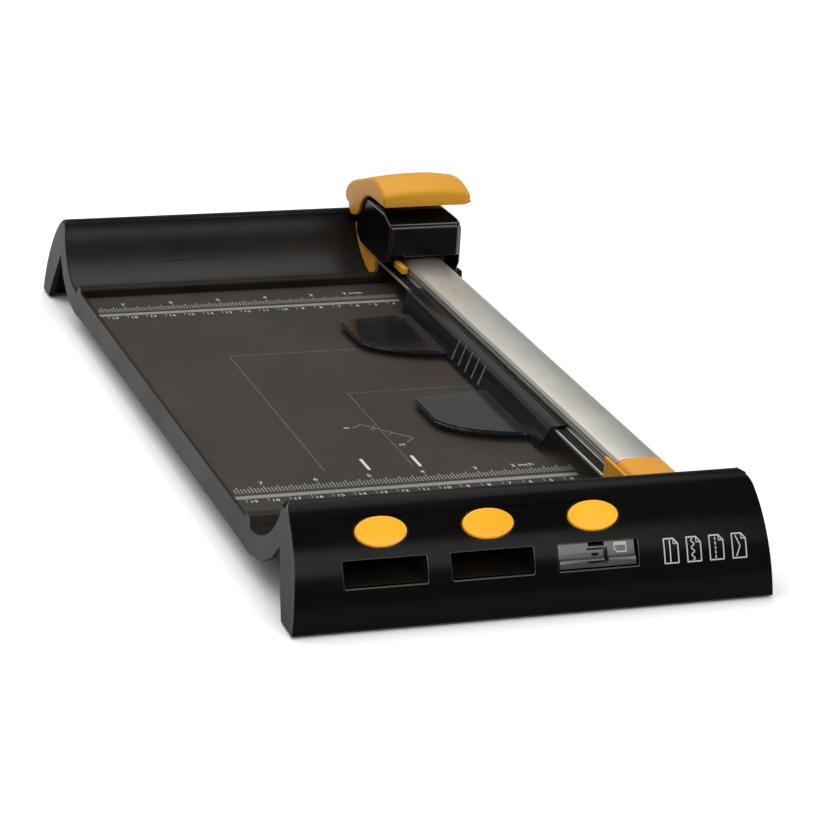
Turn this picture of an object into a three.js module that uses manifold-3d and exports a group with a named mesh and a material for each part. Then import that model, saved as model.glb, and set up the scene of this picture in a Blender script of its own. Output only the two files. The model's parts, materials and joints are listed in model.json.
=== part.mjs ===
// Rotary paper trimmer for A4 sheets. Millimetres, +Z up, standing on Z = 0.
// The cut runs along Y, with the storage end at -Y. X = 0 and Y = 0 are the middle of the footprint.
// A raised board spans two leaning end mouldings. A rail carries the sliding cutter head past the board.
import * as THREE from "three";
import { mergeVertices } from "three/addons/utils/BufferGeometryUtils.js";
import Module from "manifold-3d";

const wasm = await Module();
wasm.setup();

// ---- driving dimensions -------------------------------------------------------------------------
const LENGTH = 470; // foot to foot, along the cut
const WIDTH = 219; // across the feet
const END_HEIGHT = 49; // ridge of each end moulding
const END_LEAN = 30.3; // how far an end wall leans out from its ridge to its foot
const SIDE_FLARE = 4.1; // how much wider each side is at the floor than at the ridge
const BOARD_TOP = 21.2;
const FENCE_Y = 155.7; // inner faces of the two paper fences: 297 mm sheets and some room
const FENCE_HEIGHT = 4.5;
const FENCE_WIDTH = 7;
const GAP = 0.3; // between pieces that touch
const WALL = 3; // moulded wall of the base
const COVER_WALL = 2.8;
const FOOT_CLEARANCE = 1; // the mouldings end this far above the floor, on rubber pads
const RIDGE_Y = LENGTH / 2 - END_LEAN;
const RIDGE_WIDTH = 2.5;
const TROUGH_START = 10; // the parking trough starts to rise this far behind the fence
const TROUGH_DEPTH = 36.5; // and reaches the ridge over this distance
const TROUGH_RISE = END_HEIGHT - BOARD_TOP;

const RAIL = { left: 62, right: 84.7, bottom: 31.8, top: 40.6, flange: 55.8, flangeTop: 33.2, end: 162.5 };
const CUT_X = 89.8; // the line that the blade cuts along
const BLADE_RADIUS = 12.5;
const BLADE_LIFT = 3; // the handle presses the blade down by this much
const BLADE_Z = BOARD_TOP + GAP + BLADE_LIFT + BLADE_RADIUS;
const HEAD_Y = 162.7; // middle of the head, parked at the far end
const HEAD_HALF = 28;
const HEAD = { left: 53.6, right: 95.2, wall: 1.6, top: 64 };
const STATIONS = [-67.4, -19.8, 27.8]; // middles of the three buttons and storage bays
const WINDOW = { half: 18.3, bottom: 19, top: 29.4 };
const BUTTON = { z: 38.8, length: 22.8, height: 13.4, travel: 2.5, proud: 1.5 };

// ---- materials ----------------------------------------------------------------------------------
const material = (color, roughness, metalness = 0) =>
  new THREE.MeshStandardMaterial({ color, roughness, metalness });
const satinBlack = material(0x24221f, 0.5);
const glossBlack = material(0x0d0c0b, 0.15);
const boardBlack = material(0x312e2b, 0.6);
const amber = material(0xf2a92b, 0.4);
const aluminium = material(0xb9b8b2, 0.35, 1);
const steel = material(0xc9ccd0, 0.2, 1);
const smoked = new THREE.MeshStandardMaterial({ color: 0x3a3b3d, roughness: 0.1, transparent: true, opacity: 0.6 });
const rubber = material(0x1a1a1a, 0.9);
const matGrey = material(0x3c3f3d, 0.8);
const acetal = material(0xe6e4dc, 0.45);

// ---- solids -------------------------------------------------------------------------------------
const ALONG = {
  // rows of the matrix that turn an extrusion (outline x, outline y, depth) into the part's axes
  x: new THREE.Matrix4().set(0, 0, 1, 0, 1, 0, 0, 0, 0, 1, 0, 0, 0, 0, 0, 1),
  y: new THREE.Matrix4().set(1, 0, 0, 0, 0, 0, -1, 0, 0, 1, 0, 0, 0, 0, 0, 1),
  z: new THREE.Matrix4(),
};

function toManifold(geometry) {
  geometry.deleteAttribute("normal");
  geometry.deleteAttribute("uv");
  const merged = mergeVertices(geometry, 1e-4);
  return new wasm.Manifold(
    new wasm.Mesh({
      numProp: 3,
      vertProperties: new Float32Array(merged.attributes.position.array),
      triVerts: new Uint32Array(merged.index.array),
    }),
  );
}

function toGeometry(solid) {
  const mesh = solid.getMesh();
  const geometry = new THREE.BufferGeometry();
  geometry.setAttribute("position", new THREE.BufferAttribute(new Float32Array(mesh.vertProperties), 3));
  geometry.setIndex(new THREE.BufferAttribute(new Uint32Array(mesh.triVerts), 1));
  return geometry;
}

// An outline of [a, b] points pushed along one axis: (y, z) along x, (x, z) along y, (x, y) along z.
function prism(outline, axis, from, to, holes = []) {
  const shape = new THREE.Shape(outline.map(([a, b]) => new THREE.Vector2(a, b)));
  for (const hole of holes) {
    shape.holes.push(new THREE.Path(hole.map(([a, b]) => new THREE.Vector2(a, b))));
  }
  const geometry = new THREE.ExtrudeGeometry(shape, { depth: to - from, bevelEnabled: false });
  geometry.applyMatrix4(ALONG[axis]);
  const start = { x: [from, 0, 0], y: [0, to, 0], z: [0, 0, from] }[axis];
  geometry.translate(...start);
  return toManifold(geometry);
}

function block([x0, x1], [y0, y1], [z0, z1]) {
  const geometry = new THREE.BoxGeometry(x1 - x0, y1 - y0, z1 - z0);
  geometry.translate((x0 + x1) / 2, (y0 + y1) / 2, (z0 + z1) / 2);
  return toManifold(geometry);
}

// A turned piece: profile [radius, height] round an axis that starts at `base` and points along `direction`.
function turned(profile, base, direction, segments = 24) {
  const geometry = new THREE.LatheGeometry(
    profile.map(([radius, height]) => new THREE.Vector2(radius, height)),
    segments,
  );
  const turn = new THREE.Quaternion().setFromUnitVectors(
    new THREE.Vector3(0, 1, 0),
    new THREE.Vector3(...direction).normalize(),
  );
  geometry.applyQuaternion(turn);
  geometry.translate(...base);
  return toManifold(geometry);
}

const rod = (radius, base, direction, length, segments = 24) =>
  turned([[0, 0], [radius, 0], [radius, length], [0, length]], base, direction, segments);

const join = (solids) => solids.reduce((whole, solid) => whole.add(solid));
const mirrored = (outline) => outline.map(([y, z]) => [-y, z]).reverse();
const steps = (count) => Array.from({ length: count + 1 }, (_, i) => i / count);

// ---- the curves of the end mouldings --------------------------------------------------------------
// The outer wall bulges from its ridge to its foot; the inner skins are the same curve, smaller.
const wallY = (z, lean, height, top = RIDGE_Y) => top + lean * Math.pow(Math.max(0, 1 - (z / height) ** 2), 0.7);

function wallCurve(lean, height, bottom, topFraction, count, top = RIDGE_Y) {
  return steps(count).map((t) => {
    const z = bottom + (height * topFraction - bottom) * Math.sin((t * Math.PI) / 2);
    return [wallY(z, lean, height, top), z];
  });
}

// The trough behind each fence rises as a scoop to the ridge.
function troughCurve(shiftY, shiftZ, topFraction, count) {
  return steps(count).map((t) => {
    const along = topFraction * Math.sin((t * Math.PI) / 2);
    const rise = 1 - Math.pow(1 - along ** 2, 0.6);
    return [FENCE_Y + TROUGH_START + shiftY + TROUGH_DEPTH * along, BOARD_TOP + shiftZ + TROUGH_RISE * rise];
  });
}

const fenceTop = BOARD_TOP + FENCE_HEIGHT;
const fenceCurve = [
  [FENCE_Y, fenceTop - 0.8],
  [FENCE_Y + 0.8, fenceTop],
  [FENCE_Y + FENCE_WIDTH - 0.8, fenceTop],
  [FENCE_Y + FENCE_WIDTH, fenceTop - 0.8],
  [FENCE_Y + FENCE_WIDTH + 2, BOARD_TOP],
];

const ridgeCurve = (outer) => [[RIDGE_Y - RIDGE_WIDTH + 0.7, END_HEIGHT], [outer, END_HEIGHT]];

// The far end shows its own outer wall. The near end is thinner, to carry the front cover.
const FAR_END = { lean: END_LEAN, height: END_HEIGHT, ridge: RIDGE_Y };
const NEAR_END = { lean: END_LEAN - COVER_WALL - GAP, height: END_HEIGHT - 3.5, ridge: RIDGE_Y - GAP };

const DECK = { bottom: BOARD_TOP - 5.5, top: BOARD_TOP - 2.7 };
const RIGHT_EDGE = { x: 103.5, end: 170 }; // between the end mouldings the right edge steps in
const FOOT_WIDTH = 9;

// Section of one end: fence, trough, ridge, outer wall, and the hollow underneath.
function endShell({ lean, height, ridge }) {
  const outer = wallCurve(lean, height, FOOT_CLEARANCE, 1, 12, ridge).reverse();
  const inner = wallCurve(lean - FOOT_WIDTH + 1, height - 6, FOOT_CLEARANCE, 0.97, 8, RIDGE_Y - 1);
  const underside = troughCurve(WALL, -WALL, 0.955, 8).reverse();
  return [
    [FENCE_Y - 1, DECK.bottom],
    [FENCE_Y - 1, DECK.top],
    [FENCE_Y, DECK.top],
    ...fenceCurve,
    ...troughCurve(0, 0, 0.995, 12),
    ...ridgeCurve(ridge),
    ...outer,
    ...inner,
    ...underside,
  ];
}

// Section of the webs that close the ends' sides and stiffen them inside.
function endWeb({ lean, height, ridge }) {
  const foot = wallY(FOOT_CLEARANCE, lean, height);
  return [
    [FENCE_Y - 6, BAND_BOTTOM],
    [FENCE_Y - 6, DECK.top],
    [FENCE_Y, DECK.top],
    ...fenceCurve,
    ...troughCurve(0, 0, 0.995, 12),
    ...ridgeCurve(ridge),
    ...wallCurve(lean, height, FOOT_CLEARANCE, 1, 12, ridge).reverse(),
    [foot - 13, FOOT_CLEARANCE],
    [foot - 19, 12],
    [RIDGE_Y + 0.5, 29],
    [RIDGE_Y - 8, 20.5],
    [RIDGE_Y - 22, 13],
    [RIDGE_Y - 40, BAND_BOTTOM - 0.6],
  ];
}

const BAND_BOTTOM = 10.5; // underside of the board's edge, so fingers can get under it
const BAND_TOP = BOARD_TOP + 2.2;
const BAND_WALL = 2.8;
const halfWidth = (z) => WIDTH / 2 - (SIDE_FLARE * z) / END_HEIGHT;
// The whole of the base and cover stays inside this leaning pair of side planes.
const sides = (inset) =>
  prism(
    [[-halfWidth(0) + inset, 0], [halfWidth(0) - inset, 0], [halfWidth(60) - inset, 60], [-halfWidth(60) + inset, 60]],
    "y",
    -LENGTH,
    LENGTH,
  );

// ---- mats and landings on the deck ----------------------------------------------------------------
const MAT = { left: CUT_X - 5.5, right: CUT_X + 7.5, thickness: 2.2 };
const BOARD = { left: -105.2, right: MAT.left - GAP, thickness: 2.4 };

// ---- storage tray, behind the front cover ---------------------------------------------------------
const TRAY = { rear: -199.5, bottom: 17.5, top: 31, left: STATIONS[0] - 20.3, right: STATIONS[2] + 20.3 };
const coverInnerY = (z) => -wallY(z, END_LEAN - COVER_WALL, END_HEIGHT - 3.2);
const coverOuterY = (z) => -wallY(z, END_LEAN, END_HEIGHT);
const trayFront = [TRAY.bottom, 24.2, TRAY.top].map((z) => [coverInnerY(z) + 0.4, z]);

// ---- buttons: ovals that slide square to the leaning face -------------------------------------------
const buttonY = coverOuterY(BUTTON.z);
const faceRun = (coverOuterY(BUTTON.z + 0.5) - coverOuterY(BUTTON.z - 0.5)) / 1;
const faceAngle = Math.atan2(faceRun, 1); // lean of the face at the buttons, from upright
const BUTTON_OUT = [0, -Math.cos(faceAngle), Math.sin(faceAngle)];

// An oval prism square to the face at one button, from depth `inner` to depth `outer` (outwards positive).
function oval(x, length, height, inner, outer, segments = 20) {
  const shape = new THREE.Shape();
  shape.absellipse(0, 0, length / 2, height / 2, 0, Math.PI * 2);
  const geometry = new THREE.ExtrudeGeometry(shape, {
    depth: outer - inner,
    bevelEnabled: false,
    curveSegments: segments,
  });
  const out = new THREE.Vector3(...BUTTON_OUT);
  const across = new THREE.Vector3(1, 0, 0);
  const up = new THREE.Vector3().crossVectors(out, across);
  const place = new THREE.Matrix4().makeBasis(across, up, out);
  place.setPosition(x, buttonY + out.y * inner, BUTTON.z + out.z * inner);
  geometry.applyMatrix4(place);
  return toManifold(geometry);
}

const onButtonAxis = (x, depth) => [x, buttonY + BUTTON_OUT[1] * depth, BUTTON.z + BUTTON_OUT[2] * depth];

// ---- base -------------------------------------------------------------------------------------------
const BLOCK_SCREWS = [[66, 174], [78, 174]]; // [x, distance from the middle] of the rail block screws
const SCREW = { radius: 2, head: 4, headHeight: 2.4 };
const BLADE_SLOT = { left: CUT_X - 2.5, right: CUT_X + 3 }; // the blade runs out through both fences
const COVER_SCREWS = { xs: [-96, -44, 4, 96], z: 8, radius: 1.4, head: 2.8, headHeight: 2, inner: 222.6 };
const FEET = [[-82, "left"], [82, "right"]];
const FOOT_PAD = { length: 42, width: 5.6, height: 2.6 };
const nearFootY = -(wallY(1, NEAR_END.lean, NEAR_END.height) - FOOT_WIDTH / 2);
const farFootY = wallY(1, FAR_END.lean, FAR_END.height) - FOOT_WIDTH / 2;

function baseMoulding() {
  const far = endShell(FAR_END);
  const near = mirrored(endShell(NEAR_END));
  const farWeb = endWeb(FAR_END);
  const nearWeb = mirrored(endWeb(NEAR_END));
  const span = [-FENCE_Y - 1, FENCE_Y + 1];
  const solids = [
    prism(far, "x", -120, 120),
    prism(near, "x", -120, 120),
    block([-108.5, RIGHT_EDGE.x], span, [DECK.bottom, DECK.top]),
    block([-120, BOARD.left - GAP], span, [BAND_BOTTOM, BAND_TOP]),
    block([MAT.right + GAP, RIGHT_EDGE.x], span, [DECK.top - 1, BOARD_TOP]),
    block([RIGHT_EDGE.x - BAND_WALL, RIGHT_EDGE.x], span, [BAND_BOTTOM, BOARD_TOP]),
  ];
  for (const web of [farWeb, nearWeb]) {
    solids.push(prism(web, "x", -120, -halfWidth(20) + BAND_WALL));
    solids.push(prism(web, "x", halfWidth(20) - BAND_WALL, 120));
    solids.push(prism(web, "x", RIGHT_EDGE.x - BAND_WALL, RIGHT_EDGE.x));
    solids.push(prism(web, "x", 58, 60.4));
  }
  solids.push(prism(farWeb, "x", -56, -53.6));
  for (const x of [-52, 0, 50]) {
    solids.push(block([x, x + 2], span, [BAND_BOTTOM + 1, DECK.bottom + 0.5])); // ribs under the deck
  }
  const body = join(solids).intersect(sides(0.5));
  const step = block([RIGHT_EDGE.x, 120], [-RIGHT_EDGE.end, RIGHT_EDGE.end], [-5, 60]);
  return body.subtract(step).subtract(join(baseCuts()));
}

function baseCuts() {
  const cuts = [block([TRAY.left - GAP, TRAY.right + GAP], [-240, -206], [TRAY.bottom - GAP, TRAY.top + GAP])];
  for (const x of STATIONS) {
    cuts.push(oval(x, BUTTON.length + 5, BUTTON.height + 5, -14, 2));
  }
  for (const side of [-1, 1]) {
    for (const [x, y] of BLOCK_SCREWS) {
      cuts.push(rod(SCREW.radius + GAP, [x, side * y, 12], [0, 0, 1], 14, 16));
    }
    const fence = [side * (FENCE_Y - 2), side * (FENCE_Y + TROUGH_START + 1)].sort((a, b) => a - b);
    cuts.push(block([BLADE_SLOT.left, BLADE_SLOT.right], fence, [BOARD_TOP, fenceTop + 5]));
  }
  for (const x of COVER_SCREWS.xs) {
    const { z, radius, head, headHeight, inner } = COVER_SCREWS;
    cuts.push(rod(radius + GAP, [x, -inner + 10, z], [0, -1, 0], 25, 16));
    cuts.push(rod(head + GAP, [x, -inner + 10, z], [0, -1, 0], 10 + headHeight + GAP, 16));
  }
  for (const [x] of FEET) {
    for (const y of [nearFootY, farFootY]) {
      const half = FOOT_PAD.length / 2 + GAP;
      const wide = FOOT_PAD.width / 2 + GAP;
      cuts.push(block([x - half, x + half], [y - wide, y + wide], [0, FOOT_PAD.height + GAP]));
    }
  }
  return cuts;
}

function frontCover() {
  const outer = wallCurve(END_LEAN, END_HEIGHT, FOOT_CLEARANCE, 1, 16).reverse();
  const inner = wallCurve(END_LEAN - COVER_WALL, END_HEIGHT - 3.2, FOOT_CLEARANCE, 1, 14);
  let cover = prism(mirrored([...outer, ...inner]), "x", -120, 120).intersect(sides(0));
  for (const x of STATIONS) {
    cover = cover.subtract(block([x - WINDOW.half, x + WINDOW.half], [-240, -206], [WINDOW.bottom, WINDOW.top]));
    cover = cover.subtract(oval(x, BUTTON.length + 2 * GAP, BUTTON.height + 2 * GAP, -8, 4));
  }
  for (const x of COVER_SCREWS.xs) {
    cover = cover.subtract(rod(COVER_SCREWS.radius + GAP, [x, -220, COVER_SCREWS.z], [0, -1, 0], 13.2, 16));
  }
  return cover;
}

function coverScrew(x) {
  const { z, radius, head, headHeight, inner } = COVER_SCREWS;
  const profile = [[0, 0], [head - 0.6, 0], [head, 0.6], [head, headHeight], [radius, headHeight], [radius, 10], [0, 10.4]];
  return turned(profile, [x, -inner, z], [0, -1, 0], 16);
}

function storageTray() {
  const outline = [[TRAY.rear, TRAY.top], [TRAY.rear, TRAY.bottom], ...trayFront];
  let tray = prism(outline, "x", TRAY.left, TRAY.right);
  const bay = { half: WINDOW.half, bottom: WINDOW.bottom - 0.1, top: WINDOW.top + 0.1, rear: TRAY.rear - 1.5 };
  for (const x of STATIONS) {
    tray = tray.subtract(block([x - bay.half, x + bay.half], [-240, bay.rear], [bay.bottom, bay.top]));
    // room for the button to sink, and a way for its stem to reach the cartridge
    tray = tray.subtract(oval(x, BUTTON.length + 5, BUTTON.height + 1.5, -8.2, 2));
    tray = tray.subtract(oval(x, 9, 8, -18, -4));
  }
  return tray;
}

function button(x) {
  const cap = oval(x, BUTTON.length, BUTTON.height, -4, BUTTON.proud - 0.5);
  const crown = oval(x, BUTTON.length - 2.2, BUTTON.height - 2.2, 0, BUTTON.proud);
  const flange = oval(x, BUTTON.length + 3.4, BUTTON.height, -5, -3.7);
  const stem = oval(x, 5, 4.4, -9.3, -4, 16);
  return join([cap, crown, flange, stem]);
}

// ---- a spare blade cartridge, in the right-hand bay --------------------------------------------------
const CARTRIDGE = { half: WINDOW.half - 0.7, bottom: WINDOW.bottom + 0.4, top: WINDOW.top - 0.4, rear: -203 };
const cartridgeX = STATIONS[2];
const storedBlade = { y: -216, z: (CARTRIDGE.bottom + CARTRIDGE.top) / 2, thickness: 0.6 };

function storedCartridge() {
  const front = (z) => coverOuterY(z) + 0.9;
  const { half, bottom, top, rear } = CARTRIDGE;
  const outline = [[rear, top], [rear, bottom], [front(bottom), bottom], [front((bottom + top) / 2), (bottom + top) / 2], [front(top), top]];
  const body = prism(outline, "x", cartridgeX - half, cartridgeX + half);
  const slot = block(
    [cartridgeX - BLADE_RADIUS - 1, cartridgeX + BLADE_RADIUS + 1],
    [storedBlade.y - 4, 0],
    [storedBlade.z - 0.7, storedBlade.z + 0.7],
  );
  const round = rod(BLADE_RADIUS - 1, [cartridgeX, storedBlade.y + 1.2, storedBlade.z - 0.7], [0, 0, 1], 1.4, 28);
  const catchNotch = block([cartridgeX - 3.6, cartridgeX + 3.6], [-226, -207], [top - 2.6, top + 1]);
  return join([body]).subtract(join([slot, round, catchNotch]));
}

// ---- rail, with the blocks that hold its ends ----------------------------------------------------------
const railDome = [
  [RAIL.right, RAIL.bottom],
  [RAIL.right, 37.2],
  [RAIL.right - 0.8, 39],
  [RAIL.right - 3, 40.2],
  [75, RAIL.top],
  [66, 40.4],
  [RAIL.left + 1.2, 39.6],
  [RAIL.left, 38.2],
];

// Two grooves run down the left side: the upper guides the carriage, the lower is the guard's hinge.
const sideGroove = (z, half, depth) => [
  [RAIL.left, z + half], [RAIL.left + depth, z + half], [RAIL.left + depth, z - half], [RAIL.left, z - half],
];
const GUIDE = { z: 37.3, half: 0.6, depth: 1.1 };
const HINGE = { x: RAIL.left + 0.5, z: 34.2, half: 0.7, depth: 1.2 };
const railSides = [
  ...railDome,
  ...sideGroove(GUIDE.z, GUIDE.half, GUIDE.depth),
  ...sideGroove(HINGE.z, HINGE.half, HINGE.depth),
  [RAIL.left, RAIL.flangeTop],
];

function railExtrusion() {
  const flange = [[RAIL.flange, RAIL.flangeTop], [RAIL.flange, RAIL.bottom]];
  const cavity = [[RAIL.left + 3, 33.8], [RAIL.left + 3, 38.2], [RAIL.right - 2.6, 38.2], [RAIL.right - 2.6, 33.8]];
  return prism([...railSides, ...flange], "y", -RAIL.end, RAIL.end, [cavity]);
}

const BLOCK = { start: 163.1, lug: 55.9, lugTop: 42.2, lugWidth: 1.8, legRight: 82.4 };

// The end block carries the rail's section down to the trough, beside an upright lug that stops the head.
function railBlock(side) {
  const section = [
    [BLOCK.legRight, BOARD_TOP],
    [BLOCK.legRight, RAIL.bottom],
    ...railSides,
    [BLOCK.lug + BLOCK.lugWidth, RAIL.flangeTop],
    [BLOCK.lug + BLOCK.lugWidth, BLOCK.lugTop],
    [BLOCK.lug, BLOCK.lugTop],
    [BLOCK.lug, BOARD_TOP],
  ];
  const room = [
    [BLOCK.start, 60],
    [BLOCK.start, fenceTop + GAP],
    [FENCE_Y + FENCE_WIDTH + GAP, fenceTop + GAP],
    [FENCE_Y + FENCE_WIDTH + 2 + GAP, BOARD_TOP + GAP],
    ...troughCurve(-GAP, GAP, 0.97, 8),
    [RIDGE_Y - RIDGE_WIDTH - 2, 60],
  ];
  const bar = prism(section, "y", BLOCK.start, RIDGE_Y).intersect(prism(room, "x", 50, 90));
  const tongue = block([RAIL.left + 3.4, RAIL.right - 3], [RAIL.end - 11, BLOCK.start + 2], [34.2, 37.8]);
  const holes = BLOCK_SCREWS.map(([x, y]) => rod(SCREW.radius + GAP, [x, y, 10], [0, 0, 1], 20.5, 16));
  const whole = bar.add(tongue).subtract(join(holes));
  return side > 0 ? whole : whole.mirror([0, 1, 0]);
}

function blockScrew(x, y) {
  const seat = BOARD_TOP - WALL - GAP - 0.3;
  const profile = [
    [0, -SCREW.headHeight],
    [SCREW.head - 0.8, -SCREW.headHeight],
    [SCREW.head, -SCREW.headHeight + 0.8],
    [SCREW.head, 0],
    [SCREW.radius, 0],
    [SCREW.radius, 11],
    [0, 12.2],
  ];
  return turned(profile, [x, y, seat], [0, 0, 1], 16);
}

// ---- guard: a smoked strip that holds the paper flat beside the cut --------------------------------------
// Its back edge is a bead that pivots in the rail's lower groove, so a finger on a wing clamps the sheet.
const GUARD = { half: 104, thickness: 1.4, right: 61.2, bend: 54, foot: 50, bottom: 22.8, top: 34.9 };
const WING = { bottom: 23.4, top: 25.2, tip: 11.6, starts: [28, -89] };

function paperGuard() {
  const { thickness, right, bend, foot, bottom, top } = GUARD;
  const section = [
    [right, top - thickness + 0.1],
    [right, HINGE.z - 0.4],
    [HINGE.x + 0.4, HINGE.z - 0.4],
    [HINGE.x + 0.4, HINGE.z + 0.4],
    [right, HINGE.z + 0.4],
    [right, top],
    [bend + 0.8, top],
    [bend, top - 0.8],
    [foot, bottom],
    [foot + 1.5, bottom],
    [bend + 1.25, top - thickness + 0.1],
  ];
  const strip = prism(section, "y", -GUARD.half, GUARD.half);
  const wings = WING.starts.map((start) => {
    const outline = [
      [51.6, 0], [43, 1.8], [32, 6], [22, 12.2], [15, 19.5], [WING.tip, 27], [WING.tip, 54], [13.4, 58.6],
      [17.5, 60.4], [51.6, 64],
    ].map(([x, y]) => [x, y + start]);
    return prism(outline.reverse(), "z", WING.bottom, WING.top);
  });
  return join([strip, ...wings]);
}

// ---- cutter head -------------------------------------------------------------------------------------------
const headOutline = [
  [-HEAD_HALF, 40], [-HEAD_HALF, 57.8], [-26.8, 59.2], [-14, HEAD.top], [9, HEAD.top], [15.5, 61.6], [22, 56.4],
  [26.4, 50], [HEAD_HALF, 43], [27, 39.6],
];
const leftSkirt = [[20.5, 36], [8, 35.5], [-16, 35.5], [-22, 37.2]];
const rightSkirt = [[19, 28.5], [13, 25.9], [-12, 25.9], [-17, 27.4], [-24, 36.4]];
const atHead = (outline) => outline.map(([y, z]) => [y + HEAD_Y, z]).reverse();

function inset(outline, by) {
  const middle = { y: 0, z: 50 };
  return outline.map(([y, z]) => {
    const reach = Math.hypot(y - middle.y, z - middle.z);
    return [y - (by * (y - middle.y) * 1.25) / reach, z - (by * (z - middle.z) * 1.25) / reach];
  });
}

const STEM = { left: 66, right: 80, near: -7, far: 5 };

// The housing's corners: bevelled in plan at the near end, and along its right shoulder. `by` shrinks it.
function housingEnvelope(by) {
  const { left, right, top } = HEAD;
  const near = -HEAD_HALF + by;
  const plan = [
    [left + by, HEAD_HALF + 5],
    [left + by, near + 1.1],
    [left + 1.1 + by, near],
    [right - 3.4 - by * 0.7, near],
    [right - by, near + 4.4 + by * 0.4],
    [right - by, HEAD_HALF + 5],
  ].map(([x, y]) => [x, y + HEAD_Y]);
  const section = [
    [left + by, 20],
    [left + by, top - 1.4],
    [left + 1.4 + by, top - by],
    [right - 7.6 - by, top - by],
    [right - 2.7 - by, top - 3.5 - by * 0.7],
    [right - by, top - 9],
    [right - by, 20],
  ];
  const span = [HEAD_Y - HEAD_HALF - 6, HEAD_Y + HEAD_HALF + 6];
  return prism(plan, "z", 20, 70).intersect(prism(section.reverse(), "y", ...span));
}

function headHousing() {
  const { left, right, wall } = HEAD;
  const leftSide = prism(atHead([...headOutline, ...leftSkirt]), "x", left, left + wall);
  const rightSide = prism(atHead([...headOutline, ...rightSkirt]), "x", right - wall, right);
  const crown = prism(atHead(headOutline), "x", left + wall - 0.1, right - wall + 0.1);
  const hollow = prism(
    atHead([...inset(headOutline, wall), [27, 30], [-HEAD_HALF + 1.8, 30]]),
    "x",
    left + wall,
    right - wall,
  ).intersect(housingEnvelope(wall));
  const [near, far] = [HEAD_Y - HEAD_HALF - 2, HEAD_Y + HEAD_HALF + 2];
  const railWay = block([RAIL.left - 1.4, right - wall], [near, far], [30, RAIL.top + 0.9]);
  const lugWay = block([left + wall, RAIL.left - 0.6], [near, far], [30, BLOCK.lugTop + 0.9]);
  const stemHole = block(
    [STEM.left - 0.8, STEM.right + 0.8],
    [HEAD_Y + STEM.near - 0.8, HEAD_Y + STEM.far + 0.8],
    [60, 66],
  );
  const screwHoles = HEAD_SCREWS.xs.map((x) => rod(1.5 + GAP, [x, HEAD_Y + 23, HEAD_SCREWS.z], [0, 1, 0], 8, 16));
  const shell = join([leftSide, crown, rightSide]).intersect(housingEnvelope(0));
  return shell.subtract(join([hollow, railWay, lugWay, stemHole, ...screwHoles]));
}

const CARRIAGE = { left: 58.3, right: 86.9, bottom: 35.4, top: 47, half: 22, shoe: -37, clear: 0.4 };
const PAD = { left: 67, right: 79, height: 1.6, spans: { near: [-20, -9], far: [9, 20] } };
const SPRING = { radius: 4.2, wire: 0.45, turns: 4, x: 73, bottom: 43.9, top: 50.2 };

function headCarriage() {
  const { left, right, bottom, top, half, shoe, clear } = CARRIAGE;
  const section = [
    [left, top],
    [left, bottom],
    [RAIL.left - clear, bottom],
    [RAIL.left - clear, GUIDE.z - 0.35],
    [RAIL.left + 0.7, GUIDE.z - 0.35],
    [RAIL.left + 0.7, GUIDE.z + 0.35],
    [RAIL.left - clear, GUIDE.z + 0.35],
    [RAIL.left - clear, RAIL.top + clear],
    [RAIL.right + clear, RAIL.top + clear],
    [RAIL.right + clear, RAIL.bottom - 0.5],
    [83.2, RAIL.bottom - 0.5],
    [83.2, 29.4],
    [right, 29.4],
    [right, top],
  ];
  let carriage = prism(section, "y", HEAD_Y - half, HEAD_Y + half);
  carriage = carriage.add(block([left, RAIL.left - clear], [HEAD_Y + shoe, HEAD_Y - half + 1], [bottom, 38.6]));
  for (const [near, far] of Object.values(PAD.spans)) {
    carriage = carriage.subtract(
      block(
        [PAD.left - GAP, PAD.right + GAP],
        [HEAD_Y + near - GAP, HEAD_Y + far + GAP],
        [RAIL.top - 1, RAIL.top + 0.1 + PAD.height + GAP],
      ),
    );
  }
  for (const x of HEAD_SCREWS.xs) {
    carriage = carriage.add(rod(2.8, [x, HEAD_Y + half - 1, HEAD_SCREWS.z], [0, 1, 0], 4, 20));
  }
  const pilots = HEAD_SCREWS.xs.map((x) => rod(1.5 + GAP, [x, HEAD_Y + 17, HEAD_SCREWS.z], [0, 1, 0], 10, 16));
  const well = rod(SPRING.radius + 1.2, [SPRING.x, HEAD_Y, SPRING.bottom - GAP], [0, 0, 1], 10, 24);
  return carriage.subtract(join([well, ...pilots]));
}

// Two screws hold the housing to the carriage, through its far face.
const HEAD_SCREWS = { xs: [64.4, 82.2], z: 44.2 };

function headScrew(x) {
  const profile = [[0, 0], [1.5, 0], [1.5, 11], [2.6, 11], [2.6, 12], [2.1, 12.6], [0, 12.6]];
  return turned(profile, [x, HEAD_Y + 17.4, HEAD_SCREWS.z], [0, 1, 0], 16);
}

const glidePad = ([near, far]) =>
  block([PAD.left, PAD.right], [HEAD_Y + near, HEAD_Y + far], [RAIL.top + 0.1, RAIL.top + 0.1 + PAD.height]);

function handleSpring() {
  const { radius, wire, turns, x, bottom, top } = SPRING;
  const points = steps(turns * 14).map((t) => {
    const angle = t * turns * Math.PI * 2;
    const z = bottom + wire + t * (top - bottom - 2 * wire);
    return new THREE.Vector3(x + radius * Math.cos(angle), HEAD_Y + radius * Math.sin(angle), z);
  });
  const section = new THREE.Shape();
  section.absarc(0, 0, wire, 0, Math.PI * 2);
  const geometry = new THREE.ExtrudeGeometry(section, {
    extrudePath: new THREE.CatmullRomCurve3(points),
    steps: turns * 14,
    curveSegments: 3,
    bevelEnabled: false,
  });
  return toManifold(geometry);
}

// The blade hangs between two cheeks, below a bridge that the handle's stem presses.
const HOLDER = { left: 87.5, cheek: 1.5, right: 92.9, half: 8.5, bottom: 31, bridge: 50.5, top: 54 };

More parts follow.
